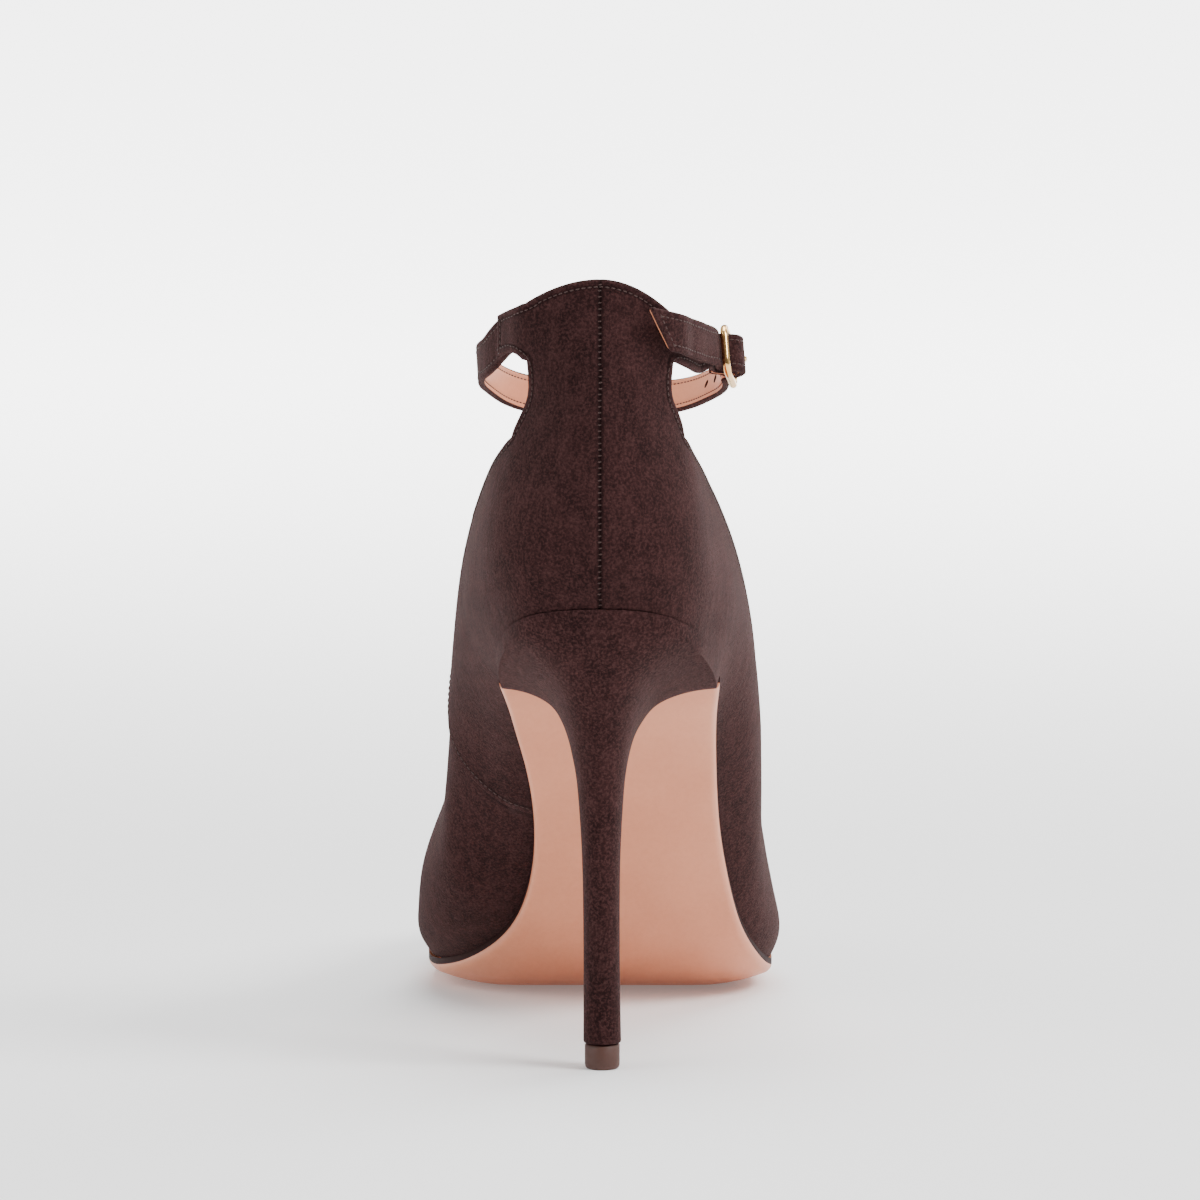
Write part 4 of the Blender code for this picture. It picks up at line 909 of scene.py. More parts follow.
@dataclass
class Bottom:
    """Outsole, insole, heel and wearing tip."""

    last: Last
    overhang: float = 0.0004
    paint_depth: float = 0.0015
    insole_inset: float = 0.0025
    insole_thickness: float = 0.0018
    insole_paint: float = 0.0009
    insole_start: float = 0.004
    insole_end: float = 0.990
    outsole_end: float = 0.9995
    tip_width: float = 0.0078
    tip_length: float = 0.0084
    tip_height: float = 0.0056
    tip_back: float = 0.0150
    tip_shift: float = 0.0005
    lip: float = 0.0003
    side_points: int = 44
    breast_points: int = 18
    stem_turn: float = 0.70
    breast_turn: float = 0.60
    stem_flatness: float = 0.65
    stem_squareness: float = 0.80

    def slab(self, name: str, looks: tuple[Look, ...], shares: Sequence[float], inset: float, top: float,
             thickness: float, paint: float) -> Pattern:
        """Return a sheet that follows the last's bottom, with rounded lower edges.

        Args:
            name: the piece's name.
            looks: its main look, and that of the upper part of its edge.
            shares: lengths of its sections as shares of the sole's.
            inset: how far its edge lies inside the feather.
            top: level of its top above the last's bottom.
            thickness: along the bottom's normal.
            paint: height of the edge's upper part.
        """
        pattern = Pattern(name, looks)
        spread = np.concatenate([[0.02, 0.045, 0.08, 0.12, 0.17, 0.23], np.linspace(0.30, 0.70, 9),
                                 [0.77, 0.83, 0.88, 0.92, 0.955, 0.98]])
        curve = thickness - paint
        rim = [(0.0, 0.0), (0.0, -paint * 0.5), (0.0, -paint)]
        rim += [(curve * (1 - math.cos(a)), -paint - curve * math.sin(a)) for a in np.linspace(0.3, math.pi / 2, 6)]
        loops = []
        for share in shares:
            around = self.last.station(share)
            loop = []
            for side in (1, -1):
                for depth, level in rim if side > 0 else rim[::-1]:
                    edge = self.last.inset_edge(side * around, inset + depth)
                    loop.append(self.last.on_bottom(edge[0], edge[1], top + level))
                row = -thickness if side > 0 else 0.0
                depth = curve if side > 0 else 0.0
                start = self.last.inset_edge(side * around, inset + depth)
                end = self.last.inset_edge(-side * around, inset + depth)
                for step in spread:
                    x, y, _z = start + (end - start) * step
                    loop.append(self.last.on_bottom(x, y, top + row))
            loops.append(loop)
        corner = len(rim) + len(spread) + len(rim)
        strips = [looks[-1] if k < 2 or corner - 3 <= k < corner - 1 else looks[0] for k in range(len(loops[0]))]
        pattern.loft(loops, strips)
        del pattern.faces[-2:], pattern.worn[-2:]
        for row in (0, len(loops) - 1):
            ring = [row * len(strips) + k for k in range(len(strips))]
            pattern.face(ring[:3] + ring[corner - 3:], looks[-1])
            pattern.face(ring[2:corner - 2], looks[0])
        return pattern

    def shares(self, low: float, high: float, count: int) -> list[float]:
        """Return shares of the length, closer together towards the ends of the shoe."""
        start, end = self.last.station(low), self.last.station(high)
        places = np.linspace(start, end, count)
        return [(1.0 - math.cos(math.pi * place)) / 2.0 for place in places]

    def outsole(self) -> bpy.types.Object:
        """Cut the leather sole with its painted edge."""
        last = self.last
        low = (last.seat_length + last.clearance) / last.sole_length
        shares = self.shares(low, self.outsole_end, 150)
        pattern = self.slab("sole", (Look.SOLE, Look.EDGE), shares, -self.overhang, 0.0, last.sole_thickness,
                            self.paint_depth)
        return hand_over(pattern.mesh(), "sole", Look.SOLE, ["outsole"])

    def insole(self) -> bpy.types.Object:
        """Line the board inside the shoe."""
        shares = self.shares(self.insole_start, self.insole_end, 110)
        pattern = self.slab("sock", (Look.LINING, Look.LINING), shares, self.insole_inset,
                            self.last.clearance + self.insole_thickness, self.insole_thickness, self.insole_paint)
        return hand_over(pattern.mesh(), "sock", Look.LINING, ["insole"])

    def stem_loop(self, width: float, back: float, front: float, high: float, low: float,
                  shift: float) -> list[np.ndarray]:
        """Return the rounded D of the heel's stem, flat towards the toe."""
        loop = []
        sides, breast = self.side_points, self.breast_points
        count = 2 * sides + 1 + breast
        for i in range(count):
            if i <= sides:
                angle = self.stem_turn * math.pi * i / sides
            elif i <= sides + breast:
                angle = math.pi * (self.stem_turn + self.breast_turn * (i - sides) / (breast + 1))
            else:
                angle = 2 * math.pi - self.stem_turn * math.pi * (count - i) / sides
            side, ahead = math.sin(angle), -math.cos(angle)
            if ahead > 0:
                ahead = ahead ** self.stem_flatness
                side = math.copysign(abs(side) ** self.stem_squareness, side)
            y = (back + front) / 2 + (front - back) / 2 * ahead
            level = high + (low - high) * (y - back) / (front - back)
            loop.append(np.array([shift + side * width / 2, y, level]))
        return loop

    def seat_loop(self, scale: float, back: float, front: float) -> list[np.ndarray]:
        """Return the seat's outline from its back, round the outer side, across the breast and back."""
        last = self.last
        corner = last.station(last.seat_length / last.sole_length)
        loop = []
        for i in range(self.side_points + 1):
            around = corner * i / self.side_points
            loop.append([last.edge_x(around) * scale, last.edge_y(around)])
        outer, inner = last.edge_x(corner) * scale, last.edge_x(-corner) * scale
        for i in range(1, self.breast_points + 1):
            loop.append([outer + (inner - outer) * i / (self.breast_points + 1), last.seat_length])
        for i in range(self.side_points, 0, -1):
            around = corner * i / self.side_points
            loop.append([last.edge_x(-around) * scale, last.edge_y(around)])
        return [np.array([x, back + (front - back) * y / last.seat_length, 0.0]) for x, y in loop]

    def heel(self) -> bpy.types.Object:
        """Cover the stiletto: cup under the seat, concave back, slim stem and flared lip."""
        last = self.last
        tip_front = self.tip_back + self.tip_length
        fall = last.slope(last.seat_length)
        size = math.hypot(1.0, fall)
        front = last.seat_length - last.sole_thickness * fall / size
        level = last.feather(last.seat_length) - last.sole_thickness / size
        rim_y = (front - tip_front) / (last.seat_length - tip_front)
        rows = ((0.965, level / last.heel_height, 0.020, rim_y, 0.985, 0.0),) + HEEL
        top = self.seat_loop(1.0 + 2 * self.lip / last.seat_width, -self.lip, last.seat_length)
        for point in top:
            point[2] = last.feather(point[1])
        loops = [top]
        for high, low, back_y, front_y, spread, roundness in rows:
            back = self.tip_back * back_y
            front = tip_front + (last.seat_length - tip_front) * front_y
            width = self.tip_width + (last.seat_width - self.tip_width) * spread
            shift = self.tip_shift * (1 - high) * roundness
            top_level, low_level = last.heel_height * high, last.heel_height * low
            seat = self.seat_loop(width / last.seat_width, back, front)
            stem = self.stem_loop(width, back, front, top_level, low_level, shift)
            for point in seat:
                point[2] = top_level + (low_level - top_level) * (point[1] - back) / (front - back)
            loops.append([a * (1 - roundness) + b * roundness for a, b in zip(seat, stem)])
        foot = self.tip_height + last.clearance
        loops.append(self.stem_loop(self.tip_width + 2 * self.lip, self.tip_back - self.lip, tip_front + self.lip,
                                    foot + 0.0004, foot + 0.0004, self.tip_shift))
        stack = np.array(loops)
        heights = stack[:, 0, 2]
        knots = np.concatenate([[0.0], np.cumsum(np.abs(np.diff(heights)) + 1e-4)])
        smooth = Spline(knots[1:], stack[1:])
        cup_end = knots[6]
        marks = np.unique(np.concatenate([np.linspace(knots[1], cup_end, 34), np.linspace(cup_end, knots[-1], 60)]))
        fine = [stack[0]] + [smooth(mark) for mark in marks]
        under = self.stem_loop(self.tip_width + self.lip, self.tip_back - self.lip / 2, tip_front + self.lip / 2,
                               foot, foot, self.tip_shift)
        fine.append(under)
        pattern = Pattern("heel_cover", (Look.SUEDE,))
        pattern.loft([list(loop) for loop in fine], [Look.SUEDE])
        return hand_over(pattern.mesh(), "heel_cover", Look.SUEDE, ["heel"])

    def tip(self) -> bpy.types.Object:
        """Fit the wearing tip with a slightly rounded edge."""
        front = self.tip_back + self.tip_length
        loops = []
        rings = ((self.tip_height, 0.0004), (self.tip_height - 0.0004, 0.0), (0.0010, 0.0), (0.0006, 0.00008),
                 (0.0003, 0.00022), (0.0001, 0.00042), (0.0, 0.0007))
        for level, inset in rings:
            loops.append(self.stem_loop(self.tip_width - 2 * inset, self.tip_back + inset, front - inset, level,
                                        level, self.tip_shift))
        pattern = Pattern("wearing_tip", (Look.TIP,))
        pattern.loft(loops, [Look.TIP])
        return hand_over(pattern.mesh(), "wearing_tip", Look.TIP, ["top_piece"])


@dataclass
class Upper:
    """Quarters, vamp, high counter and arms over their lining, with seams and edge stitching."""

    last: Last
    fastening: Fastening
    wall: float = 0.0016
    lap_at: float = -0.411
    lap_step: float = 0.0008
    lap_fade: float = 0.12
    lap_lean: float = 0.002
    lap_column: float = 0.0009
    lap_gap: float = 0.0014
    side_columns: int = 112
    column_spread: float = 0.045
    neck_rows: int = 26
    stitch_inset: float = 0.0015
    seam_depth: float = 0.00048
    made: dict[float, Spline] = field(default_factory=dict)

    def columns(self) -> tuple[list[float], list[float], list[float]]:
        """Return the places of the columns: inner side from the toe, neck, outer side on to the toe."""
        across = [0.0, 0.018, 0.042, 0.080, 0.13, 0.20, 0.28, 0.36, 0.44, 0.52, 0.60, 0.67, 0.73, 0.785, 0.835,
                  0.875, 0.905, 0.93, 0.955, 0.978, 1.0]
        share = self.last.neck_share
        neck = [-share * a for a in across[:0:-1]] + [share * a for a in across]
        outer = []
        for i in range(1, self.side_columns + 1):
            step = i / self.side_columns
            step += self.column_spread * math.sin(2 * math.pi * step)
            outer.append(share + (1.0 - share) * step)
        inner = [-place for place in outer[-2::-1]]
        seam = min(range(len(inner)), key=lambda i: abs(inner[i] - self.lap_at))
        inner[seam] = self.lap_at
        inner.insert(seam, self.lap_at - self.lap_column)
        return inner, neck, outer

    def shares(self) -> np.ndarray:
        """Return the rows up a side as shares of its height, close together at both edges."""
        return np.concatenate([[0.0, 0.006, 0.014, 0.026, 0.042], np.linspace(0.062, 0.915, 50),
                               [0.930, 0.943, 0.954, 0.963, 0.971, 0.979, 0.986, 0.993, 1.0]])

    def band(self) -> list[float]:
        """Return the rows across the arms' band, with the prong's slot in the middle."""
        edge = (1.0 - self.fastening.hole_width / self.fastening.strap_width) / 2
        low = [0.0, 0.035, 0.07, 0.11, 0.15, 0.20, 0.26, 0.32, edge]
        return low + [0.46, 0.54] + [1.0 - share for share in reversed(low)]

    def build(self) -> Sewing:
        """Make the wall and return it with the rows of stitches on it."""
        shell = Shell()
        inner, neck, outer = self.columns()
        places, shares = inner + neck + outer, self.shares()
        for i, around in enumerate(places):
            lap = 0.0
            if around >= self.lap_at:
                lap = self.lap_step * max(0.0, 1.0 - (around - self.lap_at) / self.lap_fade)
            out = self.last.edge_normal(around) * lap
            for row, share in enumerate(shares):
                shell.point((i, row), self.wall_point(around, share) + out, self.wall + lap)
            foot = self.last.inset_edge(around, self.wall)
            foot[2] += self.last.clearance
            shell.inside[(i, 0)] = foot
        rows = len(shares)
        for i in range(len(places)):
            j = (i + 1) % len(places)
            for row in range(rows - 1):
                shell.cell((i, row), (j, row), (j, row + 1), (i, row + 1))
        band_row = self.neck(shell, len(inner), rows - 1, neck)
        self.left_arm(shell, len(inner), band_row)
        self.right_arm(shell, len(inner) + len(neck) - 1, band_row)
        distances = shell.relieve(self.rise, self.is_foot)
        # Small edge distances at the lap make the suede paint a highlight on the quarter's edge and a shade line in
        # front of it.
        seam = inner.index(self.lap_at)
        for row in range(rows):
            for i, far in ((seam - 2, 0.0030), (seam - 1, 0.0014), (seam, 0.0001), (seam + 1, 0.0030)):
                distances[(i, row)] = min(distances[(i, row)], far)
        pattern = Pattern("upper_suede", (Look.SUEDE, Look.LINING))
        shell.fill(pattern, Look.SUEDE, Look.LINING, distances, self.is_foot)
        sewing = self.sew(shell, inner)
        hand_over(pattern.mesh(), "upper_suede", Look.SUEDE, ["upper"])
        return sewing

    @staticmethod
    def is_foot(key: Any) -> bool:
        """Return whether a key lies on the feather line."""
        return key[1] == 0 and isinstance(key[0], int)

    def wall_point(self, around: float, share: float) -> np.ndarray:
        """Return a point of the wall; near the lap the columns lean back as they rise."""
        near = eased(1.0 - abs(around - self.lap_at) / 0.15)
        turned = around + self.lap_lean * near * share * (1.0 - 0.5 * share)
        key = round(turned, 7)
        if key not in self.made:
            self.made[key] = self.last.wall_column(turned)[0]
        return self.made[key](share)

    def neck(self, shell: Shell, first: int, base_row: int, neck: Sequence[float]) -> int:
        """Add the counter above the sides and return the row where the arms' band starts."""
        inner_start, outer_start = (self.fastening.arm(rows)(0.0)[2] for rows in (LEFT_ARM, RIGHT_ARM))
        rows = self.neck_rows
        for offset, around in enumerate(neck):
            column, top, _length = self.last.wall_column(around)
            levels = np.linspace(1.0, top, 61)
            heights = [column(level)[2] for level in levels]
            blend = eased((around / self.last.neck_share + 1) / 2)
            wanted = inner_start * (1 - blend) + outer_start * blend
            start = float(np.interp(wanted, heights, levels))
            marks = [1.0 + (start - 1.0) * k / rows for k in range(1, rows + 1)]
            marks += [start + (top - start) * share for share in self.band()[1:]]
            i = first + offset
            for k, mark in enumerate(marks):
                shell.point((i, base_row + 1 + k), column(mark), self.wall)
            if offset:
                for row in range(base_row, base_row + len(marks)):
                    shell.cell((i - 1, row), (i, row), (i, row + 1), (i - 1, row + 1))
        return base_row + rows

    def left_arm(self, shell: Shell, edge: int, band_row: int) -> None:
        """Add the inner arm, which thins out towards its end."""
        arm = self.fastening.arm(LEFT_ARM)
        before = [(edge, band_row + k) for k in range(len(self.band()))]
        steps = list(np.linspace(0.0, 0.92, 24)[1:]) + [0.945, 0.965, 0.985, 1.0]
        for step, share in enumerate(steps):
            x, y, low, high = arm(share)
            here = []
            for k, across in enumerate(self.band()):
                here.append(("left", step, k))
                thickness = self.wall + (self.fastening.arm_edge - self.wall) * share
                shell.point(here[k], (x, y, low + (high - low) * across), thickness)
                if k:
                    shell.cell(before[k - 1], before[k], here[k], here[k - 1])
            before = here

    def right_arm(self, shell: Shell, edge: int, band_row: int) -> None:
        """Add the outer arm, folded round the buckle's bar with a slot for the prong."""
        keys = self.fastening.right_arm_keys()
        middle = Route([key[0] for key in keys])
        spans = Spline(middle.knots, [key[1] for key in keys])
        slot_from = middle.knots[8]
        before = [(edge, band_row + k) for k in range(len(self.band()))]
        band = self.band()
        marks = list(np.linspace(0.0, middle.knots[5], 22)[1:])
        marks += list(np.linspace(middle.knots[5], middle.knots[-1], 52)[1:])
        for step, at in enumerate(marks):
            place, span = middle(at), spans(at)
            thickness = float(np.interp(at, middle.knots, [key[2] for key in keys]))
            here = []
            for k, across in enumerate(band):
                here.append(("right", step, k))
                shell.point(here[k], place + span * (across - 0.5), thickness)
                if k and not (9 <= k <= 11 and at > slot_from):
                    shell.cell(before[k - 1], here[k - 1], here[k], before[k])
            before = here

    def rise(self, place: np.ndarray, distance: float) -> float:
        """Return the relief of the outside: folded edges, back seam, creases and the leather's soft unevenness."""
        height = 0.00013 * bell(distance - 0.0007, 0.0005) - 0.00014 * bell(distance - self.stitch_inset, 0.00035)
        x, y, z = place
        if y < 0.016 and abs(x) < 0.004:
            height += 0.00012 * bell(abs(x) - 0.0011, 0.0006) - self.seam_depth * bell(x, 0.00042)
        if y < 0.045:
            for x0, z0, x1, z1, width, rise in CREASES:
                along = np.array([x1 - x0, z1 - z0])
                reach = np.array([x - x0, z - z0])
                share = min(max(float(reach.dot(along) / along.dot(along)), 0.0), 1.0)
                gap = float(np.linalg.norm(reach - along * share))
                if gap < 4 * width:
                    height += rise * bell(gap, width) * math.sin(math.pi * (0.15 + 0.7 * share))
        if distance > 0.002 and z > 0.006:
            soft = noise.noise(Vector(place) * 70.0) + 0.5 * noise.noise(Vector(place) * 160.0)
            height += 0.00010 * soft * min((distance - 0.002) / 0.006, 1.0)
        return height

    def sew(self, shell: Shell, inner: Sequence[float]) -> Sewing:
        """Return the rows of stitches along the edges, the lap seam and the back seam."""
        sewing = Sewing()
        normals = shell.normals()
        order = list(shell.outside)
        index = {key: i for i, key in enumerate(order)}
        faces = [[index[key] for key in cell] for cell in shell.cells]
        surface = BVHTree.FromPolygons([Vector(shell.outside[key]) for key in order], faces)
        walls = [Vector(shell.outside[key] - normals[key] * shell.thickness[key]) for key in order]
        back = BVHTree.FromPolygons(walls, faces)
        for loop in shell.rim_loops():
            if len(loop) < 200 or self.is_foot(loop[0]):
                continue
            places = np.array([shell.outside[key] for key in loop])
            inward = []
            for i, key in enumerate(loop):
                along = places[(i + 1) % len(loop)] - places[i - 1]
                inward.append(unit(np.cross(normals[key], along)))
            inward = np.array(inward)
            for _ in range(3):
                inward = (np.roll(inward, 1, 0) + inward * 2 + np.roll(inward, -1, 0)) / 4
            path = places + inward * self.stitch_inset
            for _ in range(4):
                path = (np.roll(path, 1, 0) + path * 2 + np.roll(path, -1, 0)) / 4
            for tree, lift, skipped in ((surface, 0.00003, 0.0), (back, -0.00003, self.wall)):
                self.run(sewing, tree, path, lift, skipped)
        self.lap_row(sewing, surface)
        self.back_seam(sewing, surface)
        return sewing

    def run(self, sewing: Sewing, tree: BVHTree, path: np.ndarray, lift: float, depth: float) -> None:
        """Add rows on a face, left out where the outer arm is folded away."""
        centre, forward, _up, _out = self.fastening.axes()
        row = []
        for place in path:
            found, normal, _face, far = tree.find_nearest(Vector(place))
            hidden = (place - centre).dot(forward) > -0.0035 and place[0] > 0 and place[1] > 0.02 and place[2] > 0.135
            if found is None or far > depth + 0.0012 or hidden:
                if len(row) > 6:
                    sewing.row(row)
                row = []
                continue
            row.append(np.array(found) + np.array(normal) * lift)
        if len(row) > 6:
            sewing.row(row)

    def lap_row(self, sewing: Sewing, surface: BVHTree) -> None:
        """Add a row up the quarter beside the lap's edge."""
        row = []
        for share in np.linspace(0.03, 0.965, 60):
            place = self.wall_point(self.lap_at, share)
            back = self.wall_point(self.lap_at + 0.004, share) - place
            found, normal, _face, _far = surface.find_nearest(Vector(place + unit(back) * self.lap_gap))
            row.append(np.array(found) + np.array(normal) * 0.00004)
        sewing.row(row)

    def back_seam(self, sewing: Sewing, surface: BVHTree) -> None:
        """Add the short ticks across the seam up the back of the counter."""
        column, top, _length = self.last.wall_column(0.0)
        row = []
        for mark in np.linspace(0.02, top - 0.03, 90):
            found, normal, _face, _far = surface.find_nearest(Vector(column(mark)))
            row.append(np.array(found) + np.array(normal) * 0.00012)
        sewing.ticks(row, (1.0, 0.0, 0.16))


@dataclass
class AnkleStrap:
    """Suede strap over its lining, with punched holes and two rows of stitches on each face."""

    fastening: Fastening
    step: float = 0.0006
    end_radius: float = 0.0005
    end_slant: float = 0.0040
    slant_reach: float = 0.0110
    lining_edge: float = 0.0004
    stitch_inset: float = 0.0015

    def half_thickness(self, across: float) -> float:
        """Return half the strap's thickness at a distance from its middle, pinched by the stitches."""
        fast = self.fastening
        inset = fast.strap_width / 2 - abs(across)
        base = fast.strap_thickness / 2
        pinch = 0.00010 * bell(inset - self.stitch_inset, 0.0004)
        return base - pinch

    def build(self, sewing: Sewing) -> bpy.types.Object:
        """Lay the strap and add its stitches to the sewing."""
        fast = self.fastening
        keys, over = fast.strap_keys()
        middle = Route([key[0] for key in keys])
        upwards = Spline(middle.knots, [key[1] for key in keys])
        half = fast.strap_width / 2
        lanes = half - np.array([0.0012, 0.00135, 0.0015, 0.00165, 0.0019, 0.0023])
        lanes = [half - 0.0005, half - 0.0009] + list(lanes) + list(np.linspace(half - 0.0029, 0.0, 4))
        lanes = lanes + [-lane for lane in lanes[-2::-1]]
        count = max(2, round(middle.length / self.step))
        marks = list(np.linspace(0.0, middle.length, count))
        for gap in (0.0001, 0.00025, 0.00045):
            marks += [gap, middle.length - gap]
        loops, looks = [], []
        rows = {(side, face): [] for side in (-1, 1) for face in (-1, 1)}
        for at in sorted(marks):
            place, ahead, up, outwards = self.frame(middle, upwards, at)
            end = min(at, middle.length - at)
            squeeze = 1.0
            if end < self.end_radius:
                left = 1.0 - end / self.end_radius
                squeeze = 1.0 - self.end_radius * (1.0 - math.sqrt(max(0.0, 1.0 - left * left))) / half
            thin = 0.80 + 0.20 * min(1.0, end / 0.0003)
            slant = ahead * self.end_slant / half * eased(1.0 - (middle.length - at) / self.slant_reach)
            loop, looks = [], []
            for face, look in ((1, Look.SUEDE), (-1, Look.LINING)):
                for lane in lanes[::face]:
                    depth = outwards * face * self.half_thickness(lane) * thin
                    loop.append(place + (up + slant) * lane * squeeze + depth)
                looks += [look] * (len(lanes) - 1) + [Look.SUEDE] * (len(EDGE_ANGLES) + 1)
                for angle in EDGE_ANGLES[::face]:
                    lift = half - self.end_radius + self.end_radius * math.sin(angle)
                    level = fast.strap_thickness / 2 * math.cos(angle) * thin
                    loop.append(place - (up + slant) * face * lift * squeeze + outwards * level)
            loops.append(loop)
            if 0.0015 < at < middle.length - 0.0015:
                for (side, face), row in rows.items():
                    level = fast.strap_thickness / 2 - 0.00006
                    row.append(place + (up + slant) * side * (half - self.stitch_inset) + outwards * face * level)
        loops.append(self.tucked(loops[-1], *self.frame(middle, upwards, middle.length)))
        pattern = Pattern("ankle_strap", (Look.SUEDE, Look.LINING, Look.EDGE))
        pattern.loft(loops, looks, ends=Look.LINING)
        for row in rows.values():
            sewing.row(row)
        place, ahead, up, outwards = self.frame(middle, upwards, middle.length - self.stitch_inset)
        across = np.linspace(-1, 1, 12) * (half - self.stitch_inset)
        lean = up + ahead * self.end_slant / half * eased(1.0 - self.stitch_inset / self.slant_reach)
        sewing.row([place + lean * a + outwards * (fast.strap_thickness / 2 - 0.00006) for a in across])
        mesh = self.punch(pattern.mesh(), middle, upwards, over)
        return hand_over(mesh, "ankle_strap", Look.SUEDE, ["strap"])

    def tucked(self, loop: Sequence[np.ndarray], place: np.ndarray, ahead: np.ndarray, _up: np.ndarray,
               outwards: np.ndarray) -> list[np.ndarray]:
        """Return the end's last ring, drawn in so that only the lining's thin edge stays pale."""
        level = self.lining_edge - self.fastening.strap_thickness * 0.40
        return [point + outwards * min(0.0, level - float((point - place).dot(outwards))) + ahead * 0.00006
                for point in loop]

    @staticmethod
    def frame(middle: Route, upwards: Spline, at: float) -> tuple[np.ndarray, ...]:
        """Return the place, the direction, up and outwards at a distance along the strap."""
        ahead = middle.ahead(at)
        up = upwards(at)
        up = unit(up - ahead * up.dot(ahead))
        return middle(at), ahead, up, np.cross(up, ahead)

    def punch(self, mesh: bpy.types.Mesh, middle: Route, upwards: Spline, over: int) -> bpy.types.Mesh:
        """Return the strap's mesh with its round holes cut through.

        Args:
            mesh: the strap without holes.
            middle: its route.
            upwards: its up vectors.
            over: index of the route's key over the bar.
        """
        fast = self.fastening
        cutter = Pattern("punch", (Look.EDGE,))
        for i in range(fast.spare_holes + 1):
            at = middle.knots[over] - fast.hole_ahead - fast.hole_spacing * i
            place, _ahead, _up, outwards = self.frame(middle, upwards, at)
            path = [place - outwards * 0.0016, place + outwards * 0.0016]
            cutter.tube(path, [fast.hole_width / 2] * 2, Look.EDGE, sides=28)
        strap = bpy.data.objects.new("strap_blank", mesh)
        punch = bpy.data.objects.new("punch", cutter.mesh())
        for thing in (strap, punch):
            bpy.context.scene.collection.objects.link(thing)
        cut = strap.modifiers.new("holes", "BOOLEAN")
        cut.operation = "DIFFERENCE"
        cut.solver = "EXACT"
        cut.material_mode = "TRANSFER"
        cut.object = punch
        graph = bpy.context.evaluated_depsgraph_get()
        made = bpy.data.meshes.new_from_object(strap.evaluated_get(graph), depsgraph=graph)
        made.name = "ankle_strap"
        for thing in (strap, punch):
            bpy.data.objects.remove(thing)
        return made


@dataclass
class Buckle:
    """Gold frame with its centre bar, and the prong."""

    fastening: Fastening

    def frame(self) -> bpy.types.Object:
        """Bend the frame's wire and set the bar."""
        fast = self.fastening
        centre, forward, up, _outwards = fast.axes()
        half = (fast.buckle_height - fast.wire) / 2
        ring = []
        for turn, (ahead, rise) in enumerate(((1, 1), (-1, 1), (-1, -1), (1, -1))):
            middle = (centre + forward * ahead * (fast.frame_reach - fast.buckle_corner)
                      + up * rise * (half - fast.buckle_corner))
            for k in range(13):
                angle = math.pi / 2 * (turn + k / 12)
                ring.append(middle + fast.buckle_corner * (forward * math.cos(angle) + up * math.sin(angle)))
        path = []
        for i, point in enumerate(ring):
            after = ring[(i + 1) % len(ring)]
            pieces = max(1, round(float(np.linalg.norm(after - point)) / 0.0007))
            path += [point + (after - point) * k / pieces for k in range(pieces)]
        pattern = Pattern("buckle", (Look.GOLD,))
        pattern.tube(path, [fast.wire / 2] * len(path), Look.GOLD, closed=True, sides=32)
        ends = [centre - up * half + up * 2 * half * k / 12 for k in range(13)]
        pattern.tube(ends, [fast.bar_wire / 2] * 13, Look.GOLD, sides=24)
        return hand_over(pattern.mesh(), "buckle", Look.GOLD, ["buckle_frame"])

    def prong(self) -> bpy.types.Object:
        """Bend the prong round the bar, up through the hole and down on to the frame."""
        fast = self.fastening
        centre, forward, _up, outwards = fast.axes()
        hook = fast.bar_wire / 2 + fast.last.clearance + fast.prong_wire / 2
        path = []
        for k in range(10):
            angle = math.radians(170 + 225 * k / 9)
            path.append((hook * math.cos(angle), hook * math.sin(angle)))
        leave = fast.hole_ahead / fast.strap_radius
        for radius, extra in ((hook * 1.25, 0.10), (fast.strap_radius * 0.89, 0.02), (fast.strap_radius * 1.17, 0.01)):
            path.append((radius * math.sin(leave + extra), radius * math.cos(leave + extra)))
        crest = fast.strap_radius + fast.strap_thickness / 2 - fast.prong_wire * 0.3
        rest = (fast.wire + fast.prong_wire) / 2 + fast.last.clearance
        path += [
            (fast.frame_reach * 0.37, crest), (fast.frame_reach * 0.50, crest),
            (fast.frame_reach * 0.76, rest + (crest - rest) * 0.48), (fast.frame_reach, rest),
            (fast.frame_reach + fast.wire * 0.6, rest * 0.8),
        ]
        route = Route([centre + forward * ahead + outwards * level for ahead, level in path])
        marks = np.linspace(0.0, route.length, 90)
        radii = [fast.prong_wire / 2 * min(1.0, 0.25 + 0.75 * math.sqrt(max(0.0, (route.length - m) / 0.0006)))
                 for m in marks]
        pattern = Pattern("tongue", (Look.GOLD,))
        pattern.tube([route(m) for m in marks], radii, Look.GOLD, sides=18)
        return hand_over(pattern.mesh(), "tongue", Look.GOLD, ["prong"])


